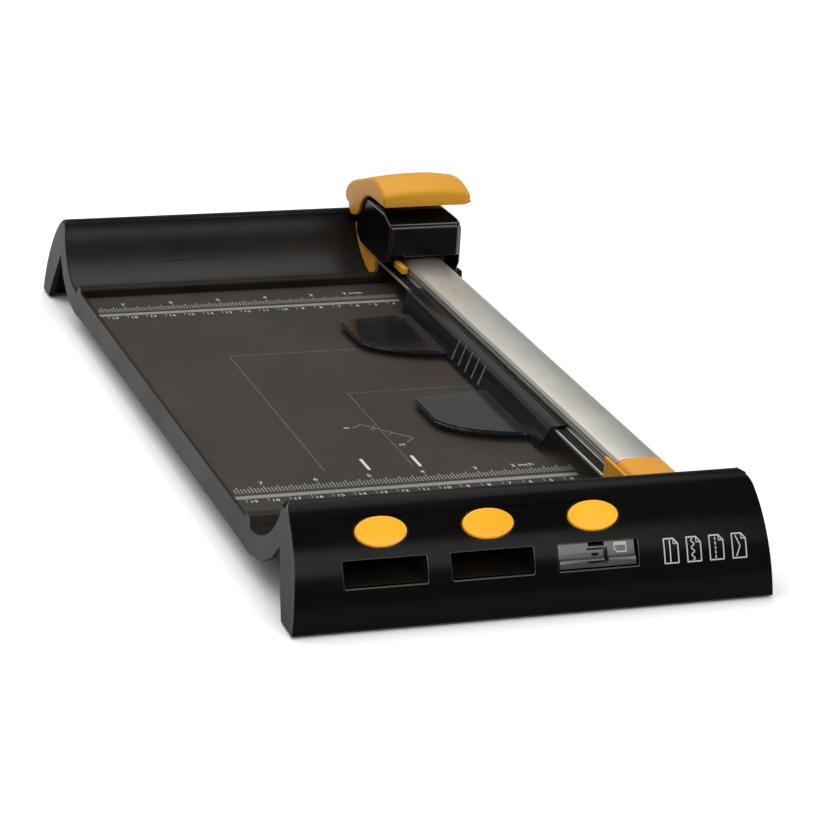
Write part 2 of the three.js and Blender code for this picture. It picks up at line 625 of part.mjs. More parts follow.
function bladeHolder() {
  const { left, cheek, right, half, bottom, bridge, top } = HOLDER;
  const spanY = [HEAD_Y - half, HEAD_Y + half];
  const cheeks = [[left, left + cheek], [right - cheek, right]].map((x) => block(x, spanY, [bottom, bridge + 1]));
  const beam = block([STEM.left - 1, right], [HEAD_Y + STEM.near, HEAD_Y + STEM.far], [bridge, top]);
  const hole = rod(AXLE.radius + GAP, [left - 5, HEAD_Y, BLADE_Z], [1, 0, 0], 20, 24);
  return join([...cheeks, beam]).subtract(hole);
}

const AXLE = { radius: 2, left: 87.2, right: 93.2 };
const bladeAxle = () => rod(AXLE.radius, [AXLE.left, HEAD_Y, BLADE_Z], [1, 0, 0], AXLE.right - AXLE.left, 24);

function disc(radius, bore, thickness, base, axis, segments = 48) {
  const profile = [[bore, 0], [radius - 1.2, 0], [radius, thickness / 2], [radius - 1.2, thickness], [bore, thickness], [bore, 0]];
  return turned(profile, base, axis, segments);
}

const HUB = { bore: AXLE.radius + 0.06, outer: 3.2, left: 89.2, right: 91.2 };
const bladeHub = () =>
  turned(
    [
      [HUB.bore, 0], [HUB.outer, 0], [HUB.outer, HUB.right - HUB.left], [HUB.bore, HUB.right - HUB.left],
      [HUB.bore, 0],
    ],
    [HUB.left, HEAD_Y, BLADE_Z],
    [1, 0, 0],
    24,
  );

// The handle is a saddle over the head, with its far end drooping behind the housing. A thin end plate hangs
// lower down the housing's left side.
const HANDLE = { left: 51.8, right: 100.8, plate: 1.5 };
const handleTop = [
  [-20.5, 67.3], [-21, 75.4], [-17, 77.2], [-11, 78.8], [-5, 79.6], [1, 79.3], [8, 77.6], [15, 74.9], [22, 72.2],
  [30, 68.9], [37, 65.4], [41.8, 62.2], [44.6, 58.8], [45.2, 56.2], [44, 53.8], [41, 52.7], [39, 52.5], [38, 50.2],
  [35.5, 48.3], [33, 48],
];
const handleUnderside = [
  [31, 49.4], [29.4, 55.6], [25.8, 62], [19.5, 66.8], [11, 69], [0, 69.4], [-11, 68.2],
];
const handlePlateUnderside = [
  [26, 49.6], [21.5, 52.4], [18.5, 57], [14, 61.8], [6, 66], [-2.5, 67.1], [-12, 67.2],
];

function handle() {
  const saddle = prism(atHead([...handleTop, ...handleUnderside]), "x", HANDLE.left, HANDLE.right);
  const plate = prism(
    atHead([...handleTop, ...handlePlateUnderside]),
    "x",
    HANDLE.left,
    HANDLE.left + HANDLE.plate,
  );
  const stem = block(
    [STEM.left, STEM.right],
    [HEAD_Y + STEM.near, HEAD_Y + STEM.far],
    [HOLDER.top + GAP, 70],
  );
  const relief = block([86, 110], [HEAD_Y - 30, HEAD_Y - 9], [60, 69.6]);
  return saddle.add(plate).subtract(relief).add(stem);
}

const footPad = (x, y) =>
  block(
    [x - FOOT_PAD.length / 2, x + FOOT_PAD.length / 2],
    [y - FOOT_PAD.width / 2, y + FOOT_PAD.width / 2],
    [0, FOOT_PAD.height],
  );

// ---- the assembly ---------------------------------------------------------------------------------------------
const trimmer = new THREE.Group();

function place(name, solid, finish, group = trimmer) {
  const mesh = new THREE.Mesh(toGeometry(solid), finish);
  mesh.name = name;
  group.add(mesh);
}

place("base_moulding", baseMoulding(), satinBlack);
const fenceRoom = FENCE_Y - GAP;
place(
  "board_plate",
  block([BOARD.left, BOARD.right], [-fenceRoom, fenceRoom], [BOARD_TOP - BOARD.thickness, BOARD_TOP]),
  boardBlack,
);
place(
  "cutting_mat",
  block([MAT.left, MAT.right], [-fenceRoom, fenceRoom], [BOARD_TOP - MAT.thickness, BOARD_TOP]),
  matGrey,
);
place("front_cover", frontCover(), glossBlack);
place("storage_tray", storageTray(), satinBlack);
COVER_SCREWS.xs.forEach((x, i) => place(`cover_screw_${i + 1}`, coverScrew(x), steel));
["left", "middle", "right"].forEach((where, i) => place(`button_${where}`, button(STATIONS[i]), amber));
place("stored_cartridge", storedCartridge(), satinBlack);
place(
  "stored_blade",
  disc(
    BLADE_RADIUS - 1.6,
    2,
    storedBlade.thickness,
    [cartridgeX, storedBlade.y + 1.2, storedBlade.z - storedBlade.thickness / 2],
    [0, 0, 1],
    32,
  ),
  steel,
);
place("rail_extrusion", railExtrusion(), aluminium);
for (const [side, where] of [[-1, "near"], [1, "far"]]) {
  place(`rail_block_${where}`, railBlock(side), amber);
  BLOCK_SCREWS.forEach(([x, y], i) => place(`rail_screw_${where}_${i + 1}`, blockScrew(x, side * y), steel));
}
place("paper_guard", paperGuard(), smoked);

const head = new THREE.Group();
trimmer.add(head);
place("head_housing", headHousing(), glossBlack, head);
place("head_carriage", headCarriage(), amber, head);
for (const [where, span] of Object.entries(PAD.spans)) {
  place(`glide_pad_${where}`, glidePad(span), acetal, head);
}
HEAD_SCREWS.xs.forEach((x, i) => place(`head_screw_${i + 1}`, headScrew(x), steel, head));
place("handle_spring", handleSpring(), steel, head);
place("handle", handle(), amber, head);
place("blade_holder", bladeHolder(), satinBlack, head);
place("blade_axle", bladeAxle(), steel, head);
place("blade_hub", bladeHub(), acetal, head);
place("rotary_blade", disc(BLADE_RADIUS, HUB.outer + 0.1, 0.6, [CUT_X, HEAD_Y, BLADE_Z], [1, 0, 0]), steel, head);

for (const [x, hand] of FEET) {
  place(`foot_near_${hand}`, footPad(x, nearFootY), rubber);
  place(`foot_far_${hand}`, footPad(x, farFootY), rubber);
}

export default trimmer;
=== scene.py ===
"""The looks of a rotary paper trimmer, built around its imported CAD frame.

The trimmer's sizes are millimetres until a mesh is made, and `MM` turns them to metres there. The floor, the
lights and the camera's distance are in metres. +Y runs along the cut, +X towards the rail side, +Z up.
"""
import json
import math

import bmesh
import bpy
from mathutils import Matrix, Vector

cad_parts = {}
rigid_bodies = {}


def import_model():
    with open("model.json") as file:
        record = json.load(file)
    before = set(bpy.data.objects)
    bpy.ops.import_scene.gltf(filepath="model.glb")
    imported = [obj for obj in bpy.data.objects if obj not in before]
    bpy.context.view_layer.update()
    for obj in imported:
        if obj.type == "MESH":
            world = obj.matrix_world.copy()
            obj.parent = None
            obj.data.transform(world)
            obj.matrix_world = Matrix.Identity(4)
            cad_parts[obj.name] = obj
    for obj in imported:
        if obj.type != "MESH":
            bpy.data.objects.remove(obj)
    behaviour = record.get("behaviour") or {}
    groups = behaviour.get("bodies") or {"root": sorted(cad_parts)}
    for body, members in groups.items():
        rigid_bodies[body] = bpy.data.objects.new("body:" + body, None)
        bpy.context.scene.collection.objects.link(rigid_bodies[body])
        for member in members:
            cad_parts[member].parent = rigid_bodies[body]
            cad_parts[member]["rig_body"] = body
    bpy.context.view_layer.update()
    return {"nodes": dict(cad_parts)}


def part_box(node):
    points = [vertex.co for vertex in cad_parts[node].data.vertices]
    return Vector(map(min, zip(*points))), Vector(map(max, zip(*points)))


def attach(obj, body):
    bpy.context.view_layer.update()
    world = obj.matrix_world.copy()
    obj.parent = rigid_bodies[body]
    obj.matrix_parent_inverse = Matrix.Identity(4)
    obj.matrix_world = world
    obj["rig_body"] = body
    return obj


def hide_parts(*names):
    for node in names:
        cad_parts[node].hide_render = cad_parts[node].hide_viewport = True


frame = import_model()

MM = 0.001


def span(node):
    """A CAD node's lowest and highest corners, in millimetres."""
    low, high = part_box(node)
    return [c / MM for c in low], [c / MM for c in high]


# ---- sizes that the frame gives -------------------------------------------------------------------
COVER_LOW, COVER_HIGH = span("front_cover")
BOARD_LOW, BOARD_HIGH = span("board_plate")
HOUSING_LOW, HOUSING_HIGH = span("head_housing")
HANDLE_LOW, HANDLE_HIGH = span("handle")
GUARD_LOW, GUARD_HIGH = span("paper_guard")
CARTRIDGE_LOW, CARTRIDGE_HIGH = span("stored_cartridge")
BLADE_LOW, BLADE_HIGH = span("rotary_blade")
END_HEIGHT = COVER_HIGH[2]
RIDGE_Y = COVER_HIGH[1]  # the near ridge's outer edge, a negative Y
END_LEAN = RIDGE_Y - COVER_LOW[1]
BOARD_TOP = BOARD_HIGH[2]
FLOOR_HALF_WIDTH = COVER_HIGH[0]
SIDE_FLARE = 4.1  # how much each side leans in between floor and ridge
HEAD_Y = (HOUSING_LOW[1] + HOUSING_HIGH[1]) / 2
CUT_X = BLADE_LOW[0]
BUTTON_NODES = ("button_left", "button_middle", "button_right")
STATIONS = [(span(n)[0][0] + span(n)[1][0]) / 2 for n in BUTTON_NODES]


# ---- materials --------------------------------------------------------------------------------------
def linear(hex_colour):
    """An sRGB hex colour as linear RGBA."""
    channels = [int(hex_colour[i : i + 2], 16) / 255 for i in (1, 3, 5)]
    return [c / 12.92 if c <= 0.04045 else ((c + 0.055) / 1.055) ** 2.4 for c in channels] + [1.0]


def add(tree, kind, settings, links):
    """Adds one node. `settings` are its properties, sockets' values, or a ramp's (place, colour) stops."""
    node = tree.nodes.new(kind)
    for key, value in settings.items():
        if key == "stops":
            for element, (place, colour) in zip(node.color_ramp.elements, value):
                element.position = place
                element.color = colour
        elif isinstance(key, int) or key in node.inputs:
            node.inputs[key].default_value = value
        else:
            setattr(node, key, value)
    for key, output in links.items():
        tree.links.new(node.inputs[key], output)
    return node


def grey(value):
    return [value, value, value, 1.0]


def per_mm(size):
    """The texture scale whose features are about `size` millimetres across."""
    return 1 / (size * MM)


def new_material(name):
    material = bpy.data.materials.new(name)
    material.use_nodes = True
    tree = material.node_tree
    shader = tree.nodes["Principled BSDF"]
    place = tree.nodes.new("ShaderNodeTexCoord").outputs["Object"]
    return material, tree, shader, place


def dress(tree, shader, tint, colours, wear, gloss, relief, depth):
    """Colour, roughness and relief of a surface, each driven by a pattern. `depth` is in millimetres."""
    colour = add(tree, "ShaderNodeValToRGB", {"stops": colours}, {"Fac": tint})
    roughness = add(tree, "ShaderNodeValToRGB", {"stops": gloss}, {"Fac": wear})
    bump = add(tree, "ShaderNodeBump", {"Strength": 1.0, "Distance": depth * MM}, {"Height": relief})
    tree.links.new(shader.inputs["Base Color"], colour.outputs["Color"])
    tree.links.new(shader.inputs["Roughness"], roughness.outputs["Color"])
    tree.links.new(shader.inputs["Normal"], bump.outputs["Normal"])


FLOW_MM = 40  # how far apart the slow drifts lie in moulded plastic
GRAIN_SHARE = 0.35  # how much the grain adds to them
CLOUD_MM = 25  # how far apart the faint clouds lie on metal
CLOUD_SHARE = 0.4


def plastic(name, light, dark, roughness, grain_mm, grain_depth, shine):
    """Moulded plastic: a grain in the surface, and slow drifts in colour and gloss from how it flowed."""
    material, tree, shader, place = new_material(name)
    drift = add(tree, "ShaderNodeTexNoise", {"Scale": per_mm(FLOW_MM), "Detail": 3.0}, {"Vector": place})
    grain_look = {"Scale": per_mm(grain_mm), "Detail": 4.0, "Roughness": 0.65}
    grain = add(tree, "ShaderNodeTexNoise", grain_look, {"Vector": place}).outputs["Fac"]
    sum_look = {"operation": "MULTIPLY_ADD", 1: GRAIN_SHARE}
    mixed = add(tree, "ShaderNodeMath", sum_look, {0: grain, 2: drift.outputs["Fac"]}).outputs[0]
    colours = [(0.42, linear(dark)), (0.92, linear(light))]
    gloss = [(0.35, grey(roughness[0])), (0.95, grey(roughness[1]))]
    dress(tree, shader, mixed, colours, mixed, gloss, grain, grain_depth)
    shader.inputs["IOR"].default_value = 1.53
    shader.inputs["Specular IOR Level"].default_value = shine
    return material


# Spark-eroded ABS: a satin black with a fine grain that breaks up the highlights along the scoops.
# Such a grain is usually finer than 0.4 mm. It is drawn that coarse so that it shows.
satin_abs = plastic("spark_eroded_black_abs", "#221d19", "#15120f", (0.32, 0.44), 0.4, 0.014, 0.06)
# The scoops' upper faces are rubbed smoother by paper and hands, so they hold a broad soft highlight.
scoop_abs = plastic("paper_rubbed_black_abs", "#1d1916", "#131110", (0.3, 0.4), 0.4, 0.01, 0.1)
# Polished ABS: deep black and smooth, with a little waviness where the wall sank as it cooled.
polished_abs = plastic("polished_black_abs", "#0a0908", "#050504", (0.12, 0.22), 9, 0.02, 0.045)
# The same ABS, lighter and much shinier, on its rounded corners: a painted highlight, so the corners show as
# thin light lines.
edge_highlight_abs = plastic("black_abs_painted_edge_highlight", "#161514", "#0e0d0c", (0.16, 0.26), 4, 0.008, 0.5)
# Amber ABS from a vapour-blasted tool: warm and satin, with soft edges to its highlights.
amber_abs = plastic("satin_amber_abs", "#cf9630", "#c18526", (0.36, 0.48), 0.5, 0.006, 0.09)
amber_shader = amber_abs.node_tree.nodes["Principled BSDF"]
amber_shader.inputs["Subsurface Weight"].default_value = 0.1
amber_shader.inputs["Subsurface Radius"].default_value = (0.004, 0.002, 0.0006)
# Polished amber ABS on the push buttons: brighter and glossier, from much touching.
button_abs = plastic("polished_amber_abs", "#fbb32a", "#f4a51e", (0.22, 0.32), 6, 0.01, 0.22)
# Screen-printed polystyrene sheet: warm dark brown-grey, matt, with a leathery emboss 0.7 mm across.
board_sheet = plastic("embossed_polystyrene", "#362f29", "#2a2520", (0.44, 0.58), 0.7, 0.014, 0.1)
# Screen ink: thin, chalky, mid grey where it is laid on the dark sheet.
screen_ink = plastic("screen_ink", "#787b77", "#6a6d69", (0.55, 0.7), 0.3, 0.004, 0.3)
# A second pass of screen ink, which comes out nearly white on the fold marks and the lettering.
white_ink = plastic("white_screen_ink", "#c4c8c4", "#b0b4b0", (0.55, 0.7), 0.3, 0.004, 0.3)
# Pad-printed grey ink on the glossy cover.
pad_ink = plastic("pad_ink", "#b4b4b1", "#a0a09d", (0.4, 0.5), 0.3, 0.003, 0.3)
# Self-healing vinyl: matt dark grey with a soft speckle.
vinyl = plastic("cutting_vinyl", "#2b2c2a", "#1f201f", (0.65, 0.8), 0.6, 0.02, 0.2)
# Smoked styrene of the blade cartridge: grey and glossy next to the black cover round it.
cartridge_styrene = plastic("smoked_styrene", "#3a3a38", "#2c2c2a", (0.14, 0.24), 5, 0.01, 0.4)
# Painted shade: a near-black sheet on the rail's ledge, for the shade in the gap beside the rail, with a
# felt-like nap.
ledge_shade_sheet = plastic("painted_shade_ledge_sheet", "#0d0c0b", "#080706", (0.5, 0.7), 0.5, 0.02, 0.12)
# Moulded nitrile rubber feet: matt black with a slight bloom.
nitrile = plastic("nitrile_rubber", "#202020", "#151515", (0.75, 0.9), 0.5, 0.02, 0.4)
# Natural acetal: waxy, white, self-lubricating.
acetal = plastic("natural_acetal", "#ebe9e0", "#dcd9cd", (0.35, 0.45), 1.2, 0.006, 0.5)


def metal(name, light, dark, roughness, line_mm, depth, across):
    """Metal with drawn or turned lines: `across` stretches the pattern along the axis that is small."""
    material, tree, shader, place = new_material(name)
    stretch = add(tree, "ShaderNodeMapping", {"Scale": across}, {"Vector": place}).outputs["Vector"]
    line_look = {"Scale": per_mm(line_mm), "Detail": 5.0, "Roughness": 0.7}
    lines = add(tree, "ShaderNodeTexNoise", line_look, {"Vector": stretch}).outputs["Fac"]
    cloud = add(tree, "ShaderNodeTexNoise", {"Scale": per_mm(CLOUD_MM), "Detail": 2.0}, {"Vector": place})
    sum_look = {"operation": "MULTIPLY_ADD", 1: CLOUD_SHARE}
    mixed = add(tree, "ShaderNodeMath", sum_look, {0: cloud.outputs["Fac"], 2: lines}).outputs[0]
    colours = [(0.4, linear(dark)), (0.95, linear(light))]
    gloss = [(0.4, grey(roughness[0])), (0.95, grey(roughness[1]))]
    dress(tree, shader, mixed, colours, mixed, gloss, lines, depth)
    shader.inputs["Metallic"].default_value = 1.0
    return material


# Drawn aluminium, satin anodised: a soft silver with die lines along its length, 0.3 mm apart.
anodised = metal("satin_anodised_aluminium", "#cbc9c1", "#b7b5ad", (0.34, 0.44), 0.3, 0.004, (1.0, 0.01, 1.0))
# Ground steel of the blades: bright, with fine marks round it.
ground_steel = metal("ground_steel", "#d6d8da", "#aeb2b5", (0.16, 0.28), 0.25, 0.003, (0.2, 1.0, 1.0))
# Zinc-plated steel of the screws, axle and spring.
zinc_plate = metal("zinc_plated_steel", "#c9cbcd", "#9fa3a6", (0.25, 0.4), 0.4, 0.004, (1.0, 1.0, 1.0))


def smoked_sheet():
    """Smoked polycarbonate: see-through, grey, with faint moulding ripples that catch the light."""
    material, tree, shader, place = new_material("smoked_polycarbonate")
    ripple_look = {"Scale": per_mm(14), "Detail": 2.0}
    ripple = add(tree, "ShaderNodeTexNoise", ripple_look, {"Vector": place}).outputs["Fac"]
    dust_look = {"Scale": per_mm(0.5), "Detail": 3.0}
    dust = add(tree, "ShaderNodeTexNoise", dust_look, {"Vector": place}).outputs["Fac"]
    colours = [(0.3, linear("#4c4d51")), (0.7, linear("#5a5b60"))]
    gloss = [(0.4, grey(0.07)), (0.75, grey(0.16))]
    dress(tree, shader, ripple, colours, dust, gloss, ripple, 0.05)
    shader.inputs["Transmission Weight"].default_value = 0.9
    shader.inputs["Specular IOR Level"].default_value = 0.3
    shader.inputs["IOR"].default_value = 1.3
    return material


smoked = smoked_sheet()
# An opaque pale grey on the guard's ribs: a painted highlight for the light lines along their edges.
rib_highlight_grey = plastic("rib_painted_highlight_grey", "#8d8e90", "#747577", (0.2, 0.35), 3, 0.004, 0.5)


# ---- meshes -----------------------------------------------------------------------------------------
def linked(name, data):
    """A new object in the scene."""
    obj = bpy.data.objects.new(name, data)
    bpy.context.scene.collection.objects.link(obj)
    return obj


def piece(name, vertices, faces, finish, body, crisp=35):
    """A mesh object from millimetre vertices, smooth apart from edges sharper than `crisp` degrees."""
    mesh = bpy.data.meshes.new(name)
    mesh.from_pydata([Vector(v) * MM for v in vertices], [], faces)
    obj = linked(name, mesh)
    work = bmesh.new()
    work.from_mesh(mesh)
    bmesh.ops.remove_doubles(work, verts=work.verts, dist=2e-6)
    bmesh.ops.recalc_face_normals(work, faces=work.faces)
    work.to_mesh(mesh)
    work.free()
    smooth(obj, crisp)
    obj.data.materials.append(finish)
    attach(obj, body)
    return obj


def smooth(obj, crisp):
    mesh = obj.data
    mesh.polygons.foreach_set("use_smooth", [True] * len(mesh.polygons))
    mesh.set_sharp_from_angle(angle=math.radians(crisp))


def soften(obj, width, crisp=35, segments=3, edge_finish=None):
    """Rounds every edge sharper than `crisp` degrees, as a mould or a file leaves it."""
    bevel = obj.modifiers.new("edge_round", "BEVEL")
    bevel.width = width * MM
    bevel.segments = segments
    bevel.limit_method = "ANGLE"
    bevel.angle_limit = math.radians(crisp)
    bevel.use_clamp_overlap = False
    bevel.harden_normals = True
    bevel.miter_outer = "MITER_ARC"
    if edge_finish:
        obj.data.materials.append(edge_finish)
        bevel.material = len(obj.data.materials) - 1
    return obj


def finished(node, name, finish, edge, crisp=35, segments=3):
    """A piece made from a CAD node's own solid: facets merged, curves smoothed and edges rounded."""
    source = frame["nodes"][node]
    mesh = bpy.data.meshes.new(name)
    work = bmesh.new()
    work.from_mesh(source.data)
    bmesh.ops.remove_doubles(work, verts=work.verts, dist=3e-6)
    bmesh.ops.dissolve_limit(work, angle_limit=math.radians(0.6), verts=work.verts, edges=work.edges)
    bmesh.ops.recalc_face_normals(work, faces=work.faces)
    work.to_mesh(mesh)
    work.free()
    obj = linked(name, mesh)
    smooth(obj, crisp)
    mesh.materials.append(finish)
    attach(obj, source["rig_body"])
    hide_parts(node)
    if edge:
        soften(obj, edge, crisp, segments)
    return obj


def oblong(low_a, high_a, low_b, high_b):
    """A rectangle's outline."""
    return [(low_a, low_b), (high_a, low_b), (high_a, high_b), (low_a, high_b)]


def prism(outline, axis, low, high):
    """Vertices and faces of an outline pushed along an axis: (y, z) on x, (x, z) on y, (x, y) on z."""
    place = {
        "x": lambda a, b, d: (d, a, b),
        "y": lambda a, b, d: (a, d, b),
        "z": lambda a, b, d: (a, b, d),
    }[axis]
    count = len(outline)
    vertices = [place(a, b, low) for a, b in outline] + [place(a, b, high) for a, b in outline]
    faces = [tuple(range(count)), tuple(range(2 * count - 1, count - 1, -1))]
    faces += [(i, (i + 1) % count, count + (i + 1) % count, count + i) for i in range(count)]
    return vertices, faces


def loft(rings):
    """Vertices and faces of rings of points joined one to the next, closed at both ends."""
    count = len(rings[0])
    vertices = [point for ring in rings for point in ring]
    faces = []
    for r in range(len(rings) - 1):
        for i in range(count):
            j = (i + 1) % count
            faces.append((r * count + i, r * count + j, (r + 1) * count + j, (r + 1) * count + i))
    faces.append(tuple(range(count)))
    faces.append(tuple(range(len(vertices) - 1, len(vertices) - count - 1, -1)))
    return vertices, faces


def cut(obj, tool_mesh, name):
    """Takes a closed shape out of a piece, for good."""
    vertices, faces = tool_mesh
    mesh = bpy.data.meshes.new(name)
    mesh.from_pydata([Vector(v) * MM for v in vertices], [], faces)
    work = bmesh.new()
    work.from_mesh(mesh)
    bmesh.ops.recalc_face_normals(work, faces=work.faces)
    work.to_mesh(mesh)
    work.free()
    tool = linked(name, mesh)
    modifier = obj.modifiers.new(name, "BOOLEAN")
    modifier.operation = "DIFFERENCE"
    modifier.solver = "EXACT"
    modifier.object = tool
    bpy.context.view_layer.update()
    result = bpy.data.meshes.new_from_object(obj.evaluated_get(bpy.context.evaluated_depsgraph_get()))
    obj.modifiers.remove(modifier)
    old = obj.data
    obj.data = result
    bpy.data.meshes.remove(old)
    bpy.data.objects.remove(tool)


def catmull(points, per_stretch):
    """A smooth curve through points."""
    last = len(points) - 1
    result = []
    for i in range(last):
        a, b, c, d = (Vector(points[min(max(i + k - 1, 0), last)]) for k in range(4))
        for k in range(per_stretch):
            t = k / per_stretch
            bend = (2 * a - 5 * b + 4 * c - d) * t**2 + (3 * b - a - 3 * c + d) * t**3
            result.append(0.5 * ((2 * b) + (c - a) * t + bend))
    result.append(Vector(points[-1]))
    return [tuple(p) for p in result]


def refinish(obj, other, wanted):
    """Gives a second finish to the faces whose centre (in mm) is wanted."""
    obj.data.materials.append(other)
    for polygon in obj.data.polygons:
        if wanted(polygon.center / MM):
            polygon.material_index = len(obj.data.materials) - 1


def slice_at(obj, point, normal):
    """Adds a line of edges across a piece, where its finish changes."""
    work = bmesh.new()
    work.from_mesh(obj.data)
    geometry = work.verts[:] + work.edges[:] + work.faces[:]
    bmesh.ops.bisect_plane(work, geom=geometry, plane_co=Vector(point) * MM, plane_no=normal)
    work.to_mesh(obj.data)
    work.free()


# ---- end mouldings, deck and cover --------------------------------------------------------------------
COVER_WALL = 2.8
FOOT_Z = COVER_LOW[2]
CORNER = {-1: 2.2, 1: 4.2}  # radius of the ridges' left and right corners
SCOOP_START = 165.7  # distance from the middle at which a scoop leaves the board
SCOOP_RUN = 36.5
SCOOP_RISE = 27.8
SKIN_LIFT = 0.25  # how far the scoop's smooth face lies above the base's own
SKIN_DEPTH = 0.3  # and how far below it the face's underside lies
END_SPAN = (196, 240)  # distances from the middle between which a ridge's corners are cut
CLEAR_ABOVE, CLEAR_ASIDE = 53, 125  # a height and a half width outside the whole base


def half_width(z):
    return FLOOR_HALF_WIDTH - SIDE_FLARE * z / END_HEIGHT


def cover_y(z, lean=END_LEAN, height=END_HEIGHT):
    """The near face: upright at the foot, and curving back to the ridge."""
    return RIDGE_Y - lean * max(0.0, 1 - (z / height) ** 2) ** 0.7


def rounded_half_width(z, side, below=0.0):
    """The half width with its top corner rounded over; `below` gives the same curve further in."""
    radius = CORNER[side]
    into = min(radius, max(0.0, z - (END_HEIGHT - radius)))
    return half_width(z) - below - (radius - math.sqrt(radius**2 - into**2))


def scoop_height(y):
    """The upper surface of an end scoop: it leaves the board level and sweeps up to the ridge."""
    along = min(1.0, max(0.0, (abs(y) - SCOOP_START) / SCOOP_RUN))
    return BOARD_TOP + SCOOP_RISE * (1 - (1 - along**2) ** 0.6)


def scoop_skin(end):
    """The smooth upper face of an end scoop, laid a hair above the base's own."""
    edge, steps, probe = 1.0, 64, 0.02
    top, under = [], []
    for k in range(steps + 1):
        y = SCOOP_START + (SCOOP_RUN - 0.15) * math.sin(k / steps * math.pi / 2)
        z = scoop_height(y)
        tilt = math.atan((scoop_height(y + probe) - scoop_height(y - probe)) / (2 * probe))
        top.append((y - math.sin(tilt) * SKIN_LIFT, z + math.cos(tilt) * SKIN_LIFT))
        under.append((y + math.sin(tilt) * SKIN_DEPTH, z - math.cos(tilt) * SKIN_DEPTH))
    outline = top + under[::-1]
    rings = [[(side * (half_width(z) - edge), end * y, z) for y, z in outline] for side in (-1, 1)]
    skin = piece(f"scoop_face_{'far' if end > 0 else 'near'}", *loft(rings), scoop_abs, "root", crisp=40)


def base_shell():
    """The whole base, with the ends of both ridges rounded over."""
    shell = finished("base_moulding", "base_shell", satin_abs, 0)
    for side in (-1, 1):
        start = END_HEIGHT - CORNER[side]
        steps = [start + CORNER[side] * math.sin(k * math.pi / 20) for k in range(11)]
        corner = [(side * rounded_half_width(z, side, 0.5), z) for z in steps]
        aside = side * CLEAR_ASIDE
        corner += [(corner[-1][0], CLEAR_ABOVE), (aside, CLEAR_ABOVE), (aside, start)]
        for end in (-1, 1):
            reach = sorted(end * y for y in END_SPAN)
            cut(shell, prism(corner, "y", *reach), f"ridge_corner_{side}_{end}")
    smooth(shell, 30)
    soften(shell, 0.45, 33)


def cover_curve(lean, height, count):
    """(y, z) points from the foot to the ridge."""
    points = []
    for i in range(count + 1):
        z = FOOT_Z + (height - FOOT_Z) * math.sin(i / count * math.pi / 2)
        points.append((cover_y(z, lean, height), z))
    return points


WINDOW_HALF = 18.3
WINDOW_BOTTOM = 19.0
WINDOW_TOP = 29.4
WINDOW_SPAN = (-250, -206)  # the stretch of Y that a window is cut through
BUTTON_Z = 38.8
BUTTON_LENGTH = 22.8
BUTTON_HEIGHT = 13.4
BUTTON_PROUD = 1.5
BUTTON_PLAY = 0.6  # how much longer and higher than the button its way through the cover is
BUTTON_WAY = (-9, 6)  # depths outside the face between which the way is cut
button_y = cover_y(BUTTON_Z)
face_lean = math.atan(cover_y(BUTTON_Z + 0.5) - cover_y(BUTTON_Z - 0.5))
BUTTON_OUT = Vector((0, -math.cos(face_lean), math.sin(face_lean)))
BUTTON_UP = BUTTON_OUT.cross(Vector((1, 0, 0)))


def oval(x, length, height, depth):
    """An oval ring square to the near face, `depth` outside it."""
    count = 72
    centre = Vector((x, button_y, BUTTON_Z)) + BUTTON_OUT * depth
    ring = []
    for i in range(count):
        angle = 2 * math.pi * i / count
        across, up = length / 2 * math.cos(angle), height / 2 * math.sin(angle)
        ring.append(tuple(centre + Vector((across, 0, 0)) + BUTTON_UP * up))
    return ring


def front_cover():
    """The curved shell over the near end, with a window and a button way over each bay."""
    outer = cover_curve(END_LEAN, END_HEIGHT, 56)
    inner = cover_curve(END_LEAN - COVER_WALL, END_HEIGHT - 3.2, 40)
    outline = outer + inner[::-1]
    rings = [[(side * rounded_half_width(z, side), y, z) for y, z in outline] for side in (-1, 1)]
    cover = piece("cover_shell", *loft(rings), polished_abs, "root", crisp=32)
    for i, x in enumerate(STATIONS):
        window = oblong(x - WINDOW_HALF, x + WINDOW_HALF, WINDOW_BOTTOM, WINDOW_TOP)
        cut(cover, prism(window, "y", *WINDOW_SPAN), f"window_{i}")
        way = [oval(x, BUTTON_LENGTH + BUTTON_PLAY, BUTTON_HEIGHT + BUTTON_PLAY, d) for d in BUTTON_WAY]
        cut(cover, loft(way), f"button_way_{i}")
    smooth(cover, 32)
    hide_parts("front_cover")
    # painted highlight: the cover's rounded edges, the ridge line among them, take the lighter, shinier edge
    # finish
    soften(cover, 0.45, 32, edge_finish=edge_highlight_abs)


def push_button(node, x):
    """A shallow oval dome with a rolled edge and a flange under the cover, on a short stem."""
    roll, roll_start, roll_rise = 1.8, 0.55, 0.6
    dome_start = roll_start + roll_rise
    rings = []
    for longer, depth in ((3.4, -5.0), (3.4, -3.7), (0.0, -3.6), (0.0, roll_start)):
        rings.append(oval(x, BUTTON_LENGTH + longer, BUTTON_HEIGHT, depth))
    for k in range(1, 7):
        angle = k * math.pi / 12
        shrink = roll * (1 - math.cos(angle))
        depth = roll_start + roll_rise * math.sin(angle)
        rings.append(oval(x, BUTTON_LENGTH - shrink, BUTTON_HEIGHT - shrink, depth))
    for k in range(1, 9):
        left_over = 1 - 20 * (k / 12) / 21
        depth = dome_start + (BUTTON_PROUD - dome_start) * math.sin(k / 12 * math.pi / 2)
        rings.append(oval(x, (BUTTON_LENGTH - roll) * left_over, (BUTTON_HEIGHT - roll) * left_over, depth))
    stem = [oval(x, 5, 4.4, d) for d in (-6.6, -5.0)]
    cap = piece(f"{node}_cap", *loft(rings), button_abs, node, crisp=50)
    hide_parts(node)
    post = piece(f"{node}_stem", *loft(stem), button_abs, node)
    soften(post, 0.3)


base_shell()
scoop_skin(1)
scoop_skin(-1)
front_cover()
finished("storage_tray", "tray_shell", satin_abs, 0.25)
for node, x in zip(BUTTON_NODES, STATIONS):
    push_button(node, x)


